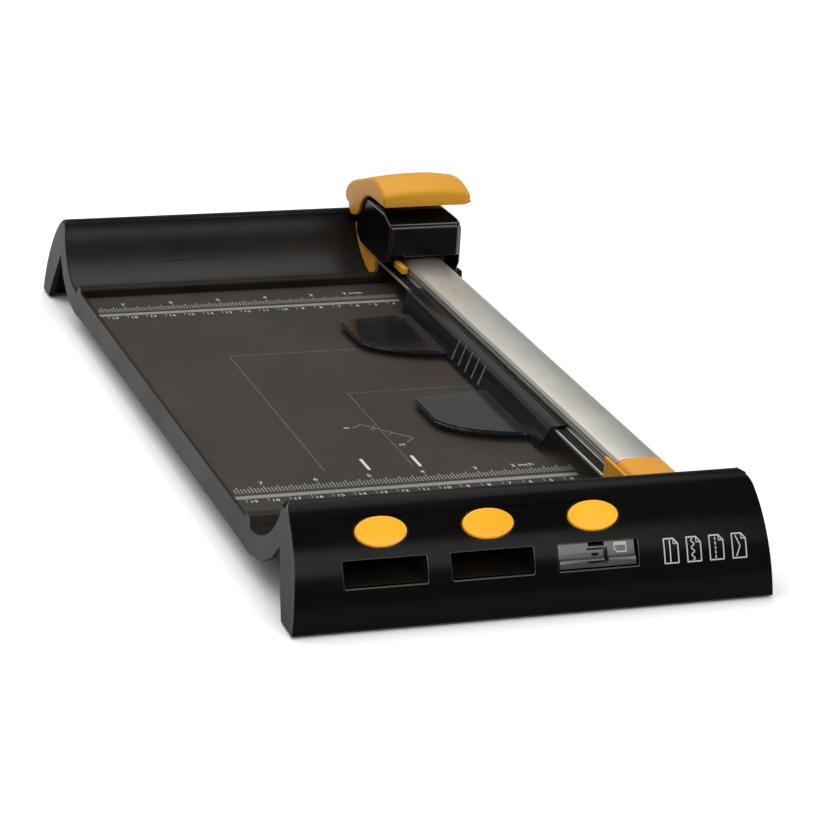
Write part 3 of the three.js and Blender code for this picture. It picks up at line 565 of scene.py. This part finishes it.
# ---- printing on the cover: four little pages, one for each kind of cut --------------------------------
def ribbon(points, width):
    """A flat stroke of that width along (x, y) points, as quads."""
    vertices, faces = [], []
    for (x0, y0), (x1, y1) in zip(points, points[1:]):
        run = math.hypot(x1 - x0, y1 - y0)
        if run < 1e-6:
            continue
        nx, ny = -(y1 - y0) / run * width / 2, (x1 - x0) / run * width / 2
        ex, ey = (x1 - x0) / run * width / 4, (y1 - y0) / run * width / 4
        start = len(vertices)
        vertices += [
            (x0 + nx - ex, y0 + ny - ey),
            (x0 - nx - ex, y0 - ny - ey),
            (x1 - nx + ex, y1 - ny + ey),
            (x1 + nx + ex, y1 + ny + ey),
        ]
        faces.append((start, start + 1, start + 2, start + 3))
    return vertices, faces


def merged(parts):
    vertices, faces = [], []
    for part_vertices, part_faces in parts:
        start = len(vertices)
        vertices += part_vertices
        faces += [tuple(start + i for i in face) for face in part_faces]
    return vertices, faces


PAGE = {"left": 58.2, "bottom": 18.9, "width": 6.4, "height": 9.6, "fold": 2.0, "pitch": 10.6}
STROKE_SLICES = 6


def cut_line(kind, middle, z, height):
    """The line inside a page: straight, wavy, perforated or folded."""
    if kind == "straight":
        return [ribbon([(middle, z + 0.6), (middle, z + height - 0.6)], 0.55)]
    if kind == "wavy":
        rise = (height - 1.2) / 18
        wave = [(middle + 0.7 * math.sin(k * math.pi / 3), z + 0.6 + k * rise) for k in range(19)]
        return [ribbon(wave, 0.5)]
    if kind == "perforated":
        starts = [z + 0.8 + k * 1.75 for k in range(5)]
        return [ribbon([(middle, low), (middle, low + 0.95)], 0.55) for low in starts]
    bend = [(middle - 0.9, z + 0.8), (middle + 0.9, z + height / 2), (middle - 0.9, z + height - 0.8)]
    return [ribbon(bend, 0.5)]


def wrapped(flat_vertices, flat_faces):
    """Flat strokes laid on the curved near face, each sliced so that it follows the curve."""
    vertices, faces = [], []
    for face in flat_faces:
        corners = [flat_vertices[i] for i in face]
        for s in range(STROKE_SLICES):
            a, b = s / STROKE_SLICES, (s + 1) / STROKE_SLICES
            start = len(vertices)
            for t, (near, far) in ((a, (0, 3)), (a, (1, 2)), (b, (1, 2)), (b, (0, 3))):
                x = corners[near][0] + (corners[far][0] - corners[near][0]) * t
                z = corners[near][1] + (corners[far][1] - corners[near][1]) * t
                vertices.append((x, cover_y(z) - 0.04, z))
            faces.append((start, start + 1, start + 2, start + 3))
    return vertices, faces


def cover_print():
    """Page outlines with a turned corner, and inside each the line that its blade cuts."""
    w, h, fold = PAGE["width"], PAGE["height"], PAGE["fold"]
    z = PAGE["bottom"]
    strokes = []
    for i, kind in enumerate(("straight", "wavy", "perforated", "folded")):
        x = PAGE["left"] + i * PAGE["pitch"]
        page = [(x, z), (x, z + h), (x + w - fold, z + h), (x + w, z + h - fold), (x + w, z), (x, z)]
        turned = [(x + w - fold, z + h), (x + w - fold, z + h - fold), (x + w, z + h - fold)]
        strokes += [ribbon(page, 0.55), ribbon(turned, 0.4)]
        strokes += cut_line(kind, x + w * 0.42, z, h)
    return piece("cover_print", *wrapped(*merged(strokes)), pad_ink, "root")


icons = cover_print()

# ---- spare cartridge in the right-hand bay --------------------------------------------------------------
cartridge_x = STATIONS[2]
# how far the case lies behind the cover's face, below and above its ledge
LEDGE_RECESS, FACE_RECESS = 0.9, 2.0


def spare_cartridge():
    """The case with its slot, catch and push tab. Its face steps out at the foot, as a finger ledge."""
    half = (CARTRIDGE_HIGH[0] - CARTRIDGE_LOW[0]) / 2
    low, high, rear = CARTRIDGE_LOW[2], CARTRIDGE_HIGH[2], CARTRIDGE_HIGH[1]
    middle = (low + high) / 2
    ledge = low + 3.7
    face = [(cover_y(z) + LEDGE_RECESS, z) for z in (low, low + 1.5, ledge - 0.8)]
    face += [(cover_y(ledge - 0.2) + 1.2, ledge - 0.2)]
    face += [(cover_y(z) + FACE_RECESS, z) for z in (ledge, middle + 1, high)]
    solid = prism([(rear, high), (rear, low)] + face, "x", cartridge_x - half, cartridge_x + half)
    body = piece("cartridge_case", *solid, cartridge_styrene, "cartridge")
    slot_half = (BLADE_HIGH[2] - BLADE_LOW[2]) / 2 + 1

    def pocket(x0, x1, z0, z1, deep, name):
        cut(body, prism(oblong(cartridge_x + x0, cartridge_x + x1, z0, z1), "y", *deep), name)

    front = cover_y(middle)
    pocket(-slot_half, slot_half, middle - 0.8, middle + 0.8, (-217, rear + 6), "blade_slot")
    catch = oblong(cartridge_x - 3.6, cartridge_x + 3.6, -226, -200)
    cut(body, prism(catch, "z", high - 2.6, high + 3), "catch")
    # the push tab in the middle: a groove round three sides, and a nick in it
    pocket(-4.4, 4.9, high - 3.1, high - 2.6, (-240, front + 4), "tab_top")
    pocket(-4.4, 4.9, low + 1.7, low + 2.4, (-240, front + 3), "tab_foot")
    pocket(3.1, 4.9, low + 1.7, high - 2.6, (-240, front + 4), "tab_side")
    pocket(-2.3, 0.6, middle - 0.7, middle + 0.3, (-240, front + 4), "tab_nick")
    smooth(body, 32)
    soften(body, 0.25, 32, 2)
    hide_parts("stored_cartridge")


spare_cartridge()


def cartridge_mark():
    """A small printed page with a heavy line along its top, on the cartridge's face."""
    high = CARTRIDGE_HIGH[2]
    x, z, w, h = cartridge_x + 8.2, high - 4.6, 5.4, 3.6
    page = [(x, z + 1.2), (x, z + h), (x + w, z + h), (x + w, z), (x + 1.2, z), (x, z + 1.2)]
    strokes = [ribbon(page, 0.45), ribbon([(x, z + h - 0.5), (x + w, z + h - 0.5)], 1.1)]
    flat_vertices, faces = merged(strokes)
    vertices = [(px, cover_y(pz) + FACE_RECESS - 0.06, pz) for px, pz in flat_vertices]
    return piece("cartridge_print", vertices, faces, pad_ink, "cartridge")


cartridge_mark()

# ---- board with its printed rules -----------------------------------------------------------------------
finished("board_plate", "board_sheet", board_sheet, 0.3)
finished("cutting_mat", "mat_strip", vinyl, 0.2)
INCH = 25.4
RULE_Y = -125.3  # baseline of the near rule
FAR_RULE_Y = 130.6
INK_Z = BOARD_TOP + 0.03
INK_LIMITS = (BOARD_LOW[0] + 1.2, BOARD_HIGH[0] - 1)


def on_board(parts):
    vertices, faces = merged(parts)
    return [(x, y, INK_Z) for x, y in vertices], faces


def rule(base_y, first, last, band):
    """Sixteenths of an inch up from the baseline, a band under it, and centimetre ticks under the band."""
    strokes = []
    for n in range(int(first * 16), int(last * 16) + 1):
        x = CUT_X - n * INCH / 16
        if not INK_LIMITS[0] < x < INK_LIMITS[1]:
            continue
        length = 7.0 if n % 4 == 0 else 5.0
        strokes.append(ribbon([(x, base_y), (x, base_y + length)], 0.62))
    left, right = max(INK_LIMITS[0], CUT_X - last * INCH), CUT_X - first * INCH
    strokes.append(ribbon([(left, base_y - 4.9), (right, base_y - 4.9)], band))
    for n in range(int(first * 2.54), int(last * 2.54) + 1):
        x = CUT_X - n * 10
        if INK_LIMITS[0] < x < right:
            strokes.append(ribbon([(x, base_y - 7.4), (x, base_y - 10.6)], 0.5))
    return strokes


def dashes(x0, y0, x1, y1, dash, gap, width):
    """A broken line from one point to another."""
    run = math.hypot(x1 - x0, y1 - y0)
    strokes, at = [], 0.0
    while at < run:
        a, b = at / run, min(run, at + dash) / run
        start = (x0 + (x1 - x0) * a, y0 + (y1 - y0) * a)
        strokes.append(ribbon([start, (x0 + (x1 - x0) * b, y0 + (y1 - y0) * b)], width))
        at += dash + gap
    return strokes


RULE_FIRST, RULE_LAST, BAND = 1.3, 7.6, 3.6  # the rules' ends in inches from the cut, and their band's width
SHEETS = ((-145.3, 178.9), (-103.4, 117.0))  # corners of the dotted outlines, from the cut and the near rule
ANGLE_RAY = ((-110.7, 74.6), (-91.6, 53.0))
ANGLE_TICKS = (
    ((-110.7, 74.6), (-115.6, 70.6)),
    ((-105.2, 71.8), (-105.6, 67.6)),
    ((-105.6, 67.6), (-108.6, 66.8)),
    ((-98.5, 60.8), (-101.6, 59.6)),
)


def board_print():
    """Both rules, two dotted outlines taken to be of smaller sheets, and the angle guide."""
    strokes = rule(RULE_Y, RULE_FIRST, RULE_LAST, BAND) + rule(FAR_RULE_Y, RULE_FIRST, RULE_LAST, BAND)
    for sheet_left, sheet_top in SHEETS:
        x, top = CUT_X + sheet_left, RULE_Y + sheet_top
        strokes += dashes(x, RULE_Y + 20, x, top, 0.9, 1.3, 0.42)
        strokes += dashes(x, top, CUT_X - 38, top, 0.9, 1.3, 0.42)
    strokes.append(ribbon([(CUT_X + x, RULE_Y + y) for x, y in ANGLE_RAY], 0.5))
    for tick in ANGLE_TICKS:
        strokes.append(ribbon([(CUT_X + x, RULE_Y + y) for x, y in tick], 0.45))
    strokes += dashes(CUT_X - 91.6, RULE_Y + 53.0, CUT_X - 96.6, RULE_Y + 47.8, 1.6, 0.8, 0.5)
    return piece("board_print", *on_board(strokes), screen_ink, "root")


def fold_marks():
    """Two short heavy marks with round ends above the near rule, taken to be for folding."""
    radius, steps = 0.75, 12
    marks = []
    for x in (CUT_X - 124.6, CUT_X - 100.1):
        ends = []
        for half_turn, y in ((0, RULE_Y + 30.6), (math.pi, RULE_Y + 18.0)):
            for k in range(steps + 1):
                turn = half_turn + math.pi * k / steps
                ends.append((x + radius * math.cos(turn), y + radius * math.sin(turn)))
        marks.append((ends, [tuple(range(len(ends)))]))
    return piece("fold_marks", *on_board(marks), white_ink, "root")


fold_marks()
ink = board_print()


def number(text, x, y, height, name):
    """A printed number, centred on x. A digit is 0.7 of the font's size high."""
    curve = bpy.data.curves.new(name, "FONT")
    curve.body = text
    curve.size = height / 0.7 * MM
    curve.align_x = "CENTER"
    curve.resolution_u = 3
    obj = linked(name, curve)
    obj.location = (x * MM, y * MM, INK_Z * MM)
    obj.data.materials.append(white_ink)
    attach(obj, "root")


for row, base_y in enumerate((RULE_Y, FAR_RULE_Y)):
    for n in range(2, 8):
        text, shift = ("2 inch", 2.5) if n == 2 else (str(n), 0)
        number(text, CUT_X - n * INCH - shift, base_y + 9.2, 3.2, f"inch_{row}_{n}")
    for n in range(4, 20):
        number(str(n), CUT_X - n * 10 + 3.1, base_y - 11.3, 2.7, f"centimetre_{row}_{n}")

number("45", CUT_X - 118.6, RULE_Y + 70.2, 2.2, "angle_45")
number("60", CUT_X - 99.6, RULE_Y + 44.4, 2.2, "angle_60")

# ---- rail and its end blocks ----------------------------------------------------------------------------
SHADED_LEG_TOP = 31.7  # below this the rail blocks are black: painted shade under the rail
LUG_RIGHT = 57.75  # and to the right of this; the lug stays amber to its foot

finished("rail_extrusion", "rail_bar", anodised, 0.3, crisp=28, segments=3)
rail_ends = []
for side in ("near", "far"):
    block = finished(f"rail_block_{side}", f"rail_end_{side}", amber_abs, 0, crisp=28)
    rail_ends.append(block)
    for i in (1, 2):
        finished(f"rail_screw_{side}_{i}", f"rail_bolt_{side}_{i}", zinc_plate, 0.15, segments=2)


def ledge_tape():
    """A near-black strip on the rail's ledge, which the guard's hinge and the head's shoe run over: painted
    shade for the gap beside the rail.
    """
    low, high = span("rail_extrusion")
    right, ledge = 61.9, 33.13
    section = oblong(low[0] + 0.9, right, ledge - 0.2, ledge + 0.12)
    shade_strip = piece("ledge_tape", *prism(section, "y", low[1] + 0.8, high[1] - 0.8), ledge_shade_sheet, "root")
    soften(shade_strip, 0.05, segments=2)


ledge_tape()


# ---- guard ------------------------------------------------------------------------------------------------
GUARD_HALF = GUARD_HIGH[1]
LIP_X = 61.2  # where the strip's top steps down towards the rail
WALL_TOP_X, WALL_FOOT_X = 54.0, 50.0
WALL_TOP = GUARD_HIGH[2] - 0.8
WING_TIP_X = GUARD_LOW[0]
WING_FOOT, WING_TOP, WING_ROUND = 23.45, 25.1, 0.35
WING_CENTRE = (38, 36)  # the point its outline is shrunk towards


def wall_x(z, side):
    """The steep wall of the strip: side 0 is its outer face, 1 its inner."""
    share = (z - GUARD_LOW[2]) / (WALL_TOP - GUARD_LOW[2])
    return WALL_FOOT_X + (WALL_TOP_X - WALL_FOOT_X) * share + side * 1.35


def guard_strip():
    """The strip along the cut: a flat top that reaches to the rail, and a steep wall down to the board."""
    top, foot, right = GUARD_HIGH[2], GUARD_LOW[2], GUARD_HIGH[0]
    section = [(right, top - 1.1), (right, top - 0.3), (LIP_X, top - 0.3), (LIP_X, top)]
    section += [(55.4, top), (54.5, top - 0.25), (WALL_TOP_X, WALL_TOP)]
    outer = [WALL_TOP - (WALL_TOP - foot) * k / 6 for k in range(1, 7)]
    inner = [foot + (top - 2 - foot) * k / 6 for k in range(7)]
    section += [(wall_x(z, 0), z) for z in outer] + [(wall_x(z, 1), z) for z in inner]
    section += [(56.2, top - 1.2), (LIP_X, top - 1.2), (LIP_X, top - 1.1)]
    rings = []
    for y in (-GUARD_HALF, GUARD_HALF):
        rings.append([(x, y - math.copysign(max(0, top - z) * 0.35, y), z) for x, z in section])
    strip = piece("guard_strip", *loft(rings), smoked, "guard")
    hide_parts("paper_guard")
    soften(strip, 0.2, 30, 2)


def wing(start, name):
    """A finger plate: straight at its far side and tip, sweeping back to the strip at its near side."""
    sweep = catmull([(50.9, 2), (43, 3.6), (32, 7.4), (22, 13), (15, 20), (WING_TIP_X, 27)], 6)
    tip = [(WING_TIP_X, 54), (WING_TIP_X + 0.5, 56.8), (13.6, 59), (17.5, 60.4)]
    outline = sweep + tip + [(34, 62.1), (50.9, 63.8)]
    levels = (
        (WING_ROUND, WING_FOOT),
        (0.0, WING_FOOT + WING_ROUND),
        (0.0, WING_TOP - WING_ROUND),
        (WING_ROUND, WING_TOP),
    )
    rings = []
    for shrink, z in levels:
        ring = []
        for x, y in outline:
            dx, dy = x - WING_CENTRE[0], y - WING_CENTRE[1]
            inward = 0 if x > 50 else shrink / math.hypot(dx, dy)
            ring.append((x - dx * inward, y - dy * inward + start, z))
        rings.append(ring)
    plate = piece(name, *loft(rings), smoked, "guard", crisp=40)
    # a raised rim along the sweep and tip, where the finger rests against it
    path = [(x + 0.9, y + 0.9 + start) for x, y in sweep[4:]] + [(WING_TIP_X + 0.9, 55 + start)]
    foot, top = WING_TOP - 0.1, WING_TOP + 0.9
    rim = []
    for x, y in path:
        rim.append([(x + d, y + d, z) for d, z in ((-0.5, foot), (0.5, foot), (0.4, top), (-0.4, top))])
    ridge = piece(f"{name}_rim", *loft(rim), smoked, "guard")
    soften(ridge, 0.2, 30, 2)


def guard_rib(i):
    """One of the stiffening ribs down the wall between the wings."""
    y = 22 - i * 9.5
    low, high = 24.2, GUARD_HIGH[2] - 0.6
    outline = [(wall_x(low, 0) + 0.2, low), (wall_x(low, 0) - 0.5, low + 0.3)]
    outline += [(wall_x(high, 0) - 0.3, high), (wall_x(high, 0) + 0.3, high)]
    solid = prism(outline, "y", y - 0.25, y + 0.25)
    # painted highlight: the rib is pale grey all over, for the light lines along the ribs
    rib = piece(f"guard_rib_{i + 1}", *solid, rib_highlight_grey, "guard")
    soften(rib, 0.12, 30, 2)


guard_strip()
wing(28, "guard_wing_far")
wing(-89, "guard_wing_near")
for i in range(5):
    guard_rib(i)

# ---- cutter head ----------------------------------------------------------------------------------------
SHOE_Y = HEAD_Y - 23.5  # the carriage shows amber from here to its near end
SHOE_RIGHT = 62

housing = finished("head_housing", "head_shell", polished_abs, 0, crisp=14)
# painted highlight: the housing's rounded edges, its crease among them, take the lighter, shinier edge finish
soften(housing, 0.7, 14, 4, edge_highlight_abs)
carriage = finished("head_carriage", "carriage", satin_abs, 0)
slice_at(carriage, (0, SHOE_Y, 0), (0, 1, 0))
refinish(carriage, amber_abs, lambda c: c.y < SHOE_Y and c.x < SHOE_RIGHT)
soften(carriage, 0.25)
for where in ("near", "far"):
    finished(f"glide_pad_{where}", f"glide_{where}", acetal, 0.4)
for i in (1, 2):
    finished(f"head_screw_{i}", f"head_bolt_{i}", zinc_plate, 0.15, segments=2)

# The grip's side view, as (distance from the head's middle, height). Its top runs from the near lip to the
# far tip; its underside and the end plate's edge both run back from there.
NEAR_LIP, FAR_TIP = (-20.5, 67.3), (33, 48.1)
GRIP_TOP = [
    NEAR_LIP, (-21.1, 70), (-21.1, 74), (-19.6, 76), (-16, 77.4), (-11, 78.7), (-5, 79.5), (1, 79.3),
    (8, 77.6), (15, 74.9), (22, 72.2), (30, 68.9), (37, 65.4), (41.8, 62.2), (44.6, 58.8), (45.1, 56.2),
    (44, 53.8), (41, 52.7), (39, 52.4), (38, 50.2), (35.5, 48.4), FAR_TIP,
]
GRIP_UNDER = [
    FAR_TIP, (31, 49.4), (29.4, 55.6), (25.8, 62), (19.5, 66.8), (11, 69), (0, 69.4), (-11, 68.2), NEAR_LIP,
]
END_PLATE = [
    FAR_TIP, (26, 49.6), (21.5, 52.4), (18.5, 57), (14, 61.8), (6, 66), (-2.5, 67.1), (-12, 67.2), NEAR_LIP,
]


def handle_saddle():
    """The palm grip: a shell crowned from side to side, with an end plate down the head's left side."""
    top, under, plate = catmull(GRIP_TOP, 4), catmull(GRIP_UNDER, 4), catmull(END_PLATE, 4)
    left, right = HANDLE_LOW[0], HANDLE_HIGH[0]
    crest = left + 28

    def ring(x, depth, underside):
        outline = top[:-1] + underside[:-1]
        count = len(outline)
        reach = (crest - x) / 28 if x < crest else (x - crest) / 21
        fall = (1.9 if x < crest else 2.6) * reach**2
        points = []
        for i, (y, z) in enumerate(outline):
            a, b = Vector(outline[i - 1]), Vector(outline[(i + 1) % count])
            along = (b - a).normalized()
            inset = depth if i < len(top) - 2 else depth * 0.3
            drop = fall * min(1.0, max(0.0, (z - 66.5) / 9)) if i < len(top) else 0.0
            points.append((x, y + along.y * -inset + HEAD_Y, z + along.x * inset - drop))
        return points

    area = sum(a[0] * b[1] - b[0] * a[1] for a, b in zip(top, top[1:]))
    turn = 1 if area > 0 else -1
    rings = []
    for k in range(9):
        angle = k / 8 * math.pi / 2
        rings.append(ring(left + 1.45 * (1 - math.cos(angle)), turn * 1.9 * (1 - math.sin(angle)), plate))
    for x in (left + 1.5, left + 4, left + 10, left + 16, left + 22, left + 28, left + 34):
        rings.append(ring(x, 0, under))
    for k in range(12):
        angle = k / 11 * math.pi / 2
        rings.append(ring(right - 5.5 * (1 - math.sin(angle)), turn * 2.2 * (1 - math.cos(angle)), under))
    saddle = piece("palm_grip", *loft(rings), amber_abs, "handle", crisp=48)
    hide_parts("handle")


handle_saddle()
stem = piece("grip_stem", *prism(oblong(66, 80, HEAD_Y - 7, HEAD_Y + 5), "z", 54.4, 71), amber_abs, "handle")
soften(stem, 0.5)
finished("blade_holder", "blade_fork", satin_abs, 0.3)
finished("blade_axle", "axle_pin", zinc_plate, 0.15, segments=2)
finished("blade_hub", "hub", acetal, 0.15, segments=2)
finished("rotary_blade", "blade_disc", ground_steel, 0, crisp=12)
finished("stored_blade", "spare_blade", ground_steel, 0, crisp=12)
for i in range(4):
    finished(f"cover_screw_{i + 1}", f"cover_bolt_{i + 1}", zinc_plate, 0.15, segments=2)
for end in ("near", "far"):
    for hand in ("left", "right"):
        finished(f"foot_{end}_{hand}", f"pad_{end}_{hand}", nitrile, 0.4)


def coil_spring():
    """The handle's return spring, as a round wire at its rest length. It doesn't shorten when pressed."""
    low, high = span("handle_spring")
    wire, turns, per_turn, sides = 0.45, 4, 32, 10
    middle = ((low[0] + high[0]) / 2, (low[1] + high[1]) / 2)
    radius = (high[0] - low[0]) / 2 - wire
    up = Vector((0, 0, 1))
    rings = []
    for k in range(turns * per_turn + 1):
        angle = k / per_turn * 2 * math.pi
        z = low[2] + wire + (high[2] - low[2] - 2 * wire) * k / (turns * per_turn)
        out = Vector((math.cos(angle), math.sin(angle), 0))
        centre = Vector((middle[0], middle[1], z)) + out * radius
        around = [j * math.pi / (sides / 2) for j in range(sides)]
        rings.append([tuple(centre + (out * math.cos(t) + up * math.sin(t)) * wire) for t in around])
    spring = piece("return_spring", *loft(rings), zinc_plate, "head", crisp=60)
    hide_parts("handle_spring")


coil_spring()

# painted shade: the legs under the rail, which lie in deep shade, take the black satin ABS instead of amber
for block in rail_ends:
    slice_at(block, (0, 0, SHADED_LEG_TOP), (0, 0, 1))
    slice_at(block, (LUG_RIGHT, 0, 0), (1, 0, 0))
    refinish(block, satin_abs, lambda c: c.z < SHADED_LEG_TOP and c.x > LUG_RIGHT)
    smooth(block, 28)
    soften(block, 0.35, 28)

# ---- floor, light and camera ------------------------------------------------------------------------------
FLOOR_HALF = 9.0
floor_mesh = bpy.data.meshes.new("studio_floor")
floor_corners = oblong(-FLOOR_HALF, FLOOR_HALF, -FLOOR_HALF, FLOOR_HALF)
floor_mesh.from_pydata([(x, y, 0) for x, y in floor_corners], [], [(0, 1, 2, 3)])
floor = linked("studio_floor", floor_mesh)
floor_paper, _, floor_shader, _ = new_material("matt_white_paper")
floor_shader.inputs["Base Color"].default_value = linear("#f7f7f7")
floor_shader.inputs["Roughness"].default_value = 0.9
floor_shader.inputs["Specular IOR Level"].default_value = 0.1
floor_mesh.materials.append(floor_paper)


def softbox(name, place, aim, size, power):
    """A rectangular lamp that faces a point."""
    light = bpy.data.lights.new(name, "AREA")
    light.shape = "RECTANGLE"
    light.size, light.size_y = size
    light.energy = power
    obj = linked(name, light)
    obj.location = place
    obj.rotation_euler = (Vector(aim) - Vector(place)).to_track_quat("-Z", "Y").to_euler()


softbox("top_softbox", (-0.3, 0.9, 2.4), (0, 0.1, 0), (3.0, 2.4), 68)
softbox("left_softbox", (-2.2, -0.9, 1.9), (0, 0, 0.05), (1.6, 1.6), 9)
softbox("front_fill", (0.5, -2.7, 1.9), (0, 0, 0), (1.8, 1.2), 38)

world = bpy.data.worlds.new("studio")
bpy.context.scene.world = world
world.use_nodes = True
world.node_tree.nodes["Background"].inputs["Color"].default_value = (1, 1, 1, 1)
world.node_tree.nodes["Background"].inputs["Strength"].default_value = 0.42

AZIMUTH, ELEVATION, ROLL = (math.radians(a) for a in (19.8, 19.9, 3.32))
TARGET = Vector((8.8, -32.5, 21.2)) * MM
DISTANCE = 1.513
around_cos = math.cos(ELEVATION)
forward = Vector((math.sin(AZIMUTH) * around_cos, math.cos(AZIMUTH) * around_cos, -math.sin(ELEVATION)))
level = Vector((math.cos(AZIMUTH), -math.sin(AZIMUTH), 0))
right = level * math.cos(ROLL) + level.cross(forward) * math.sin(ROLL)
up = right.cross(forward)
camera_data = bpy.data.cameras.new("camera")
camera_data.sensor_width = 36
camera_data.lens = 139.7
camera = linked("camera", camera_data)
turned = Matrix((right, up, -forward)).transposed().to_4x4()
camera.matrix_world = Matrix.Translation(TARGET - forward * DISTANCE) @ turned
bpy.context.scene.camera = camera
bpy.context.scene.view_settings.view_transform = "Standard"

bpy.context.view_layer.update()
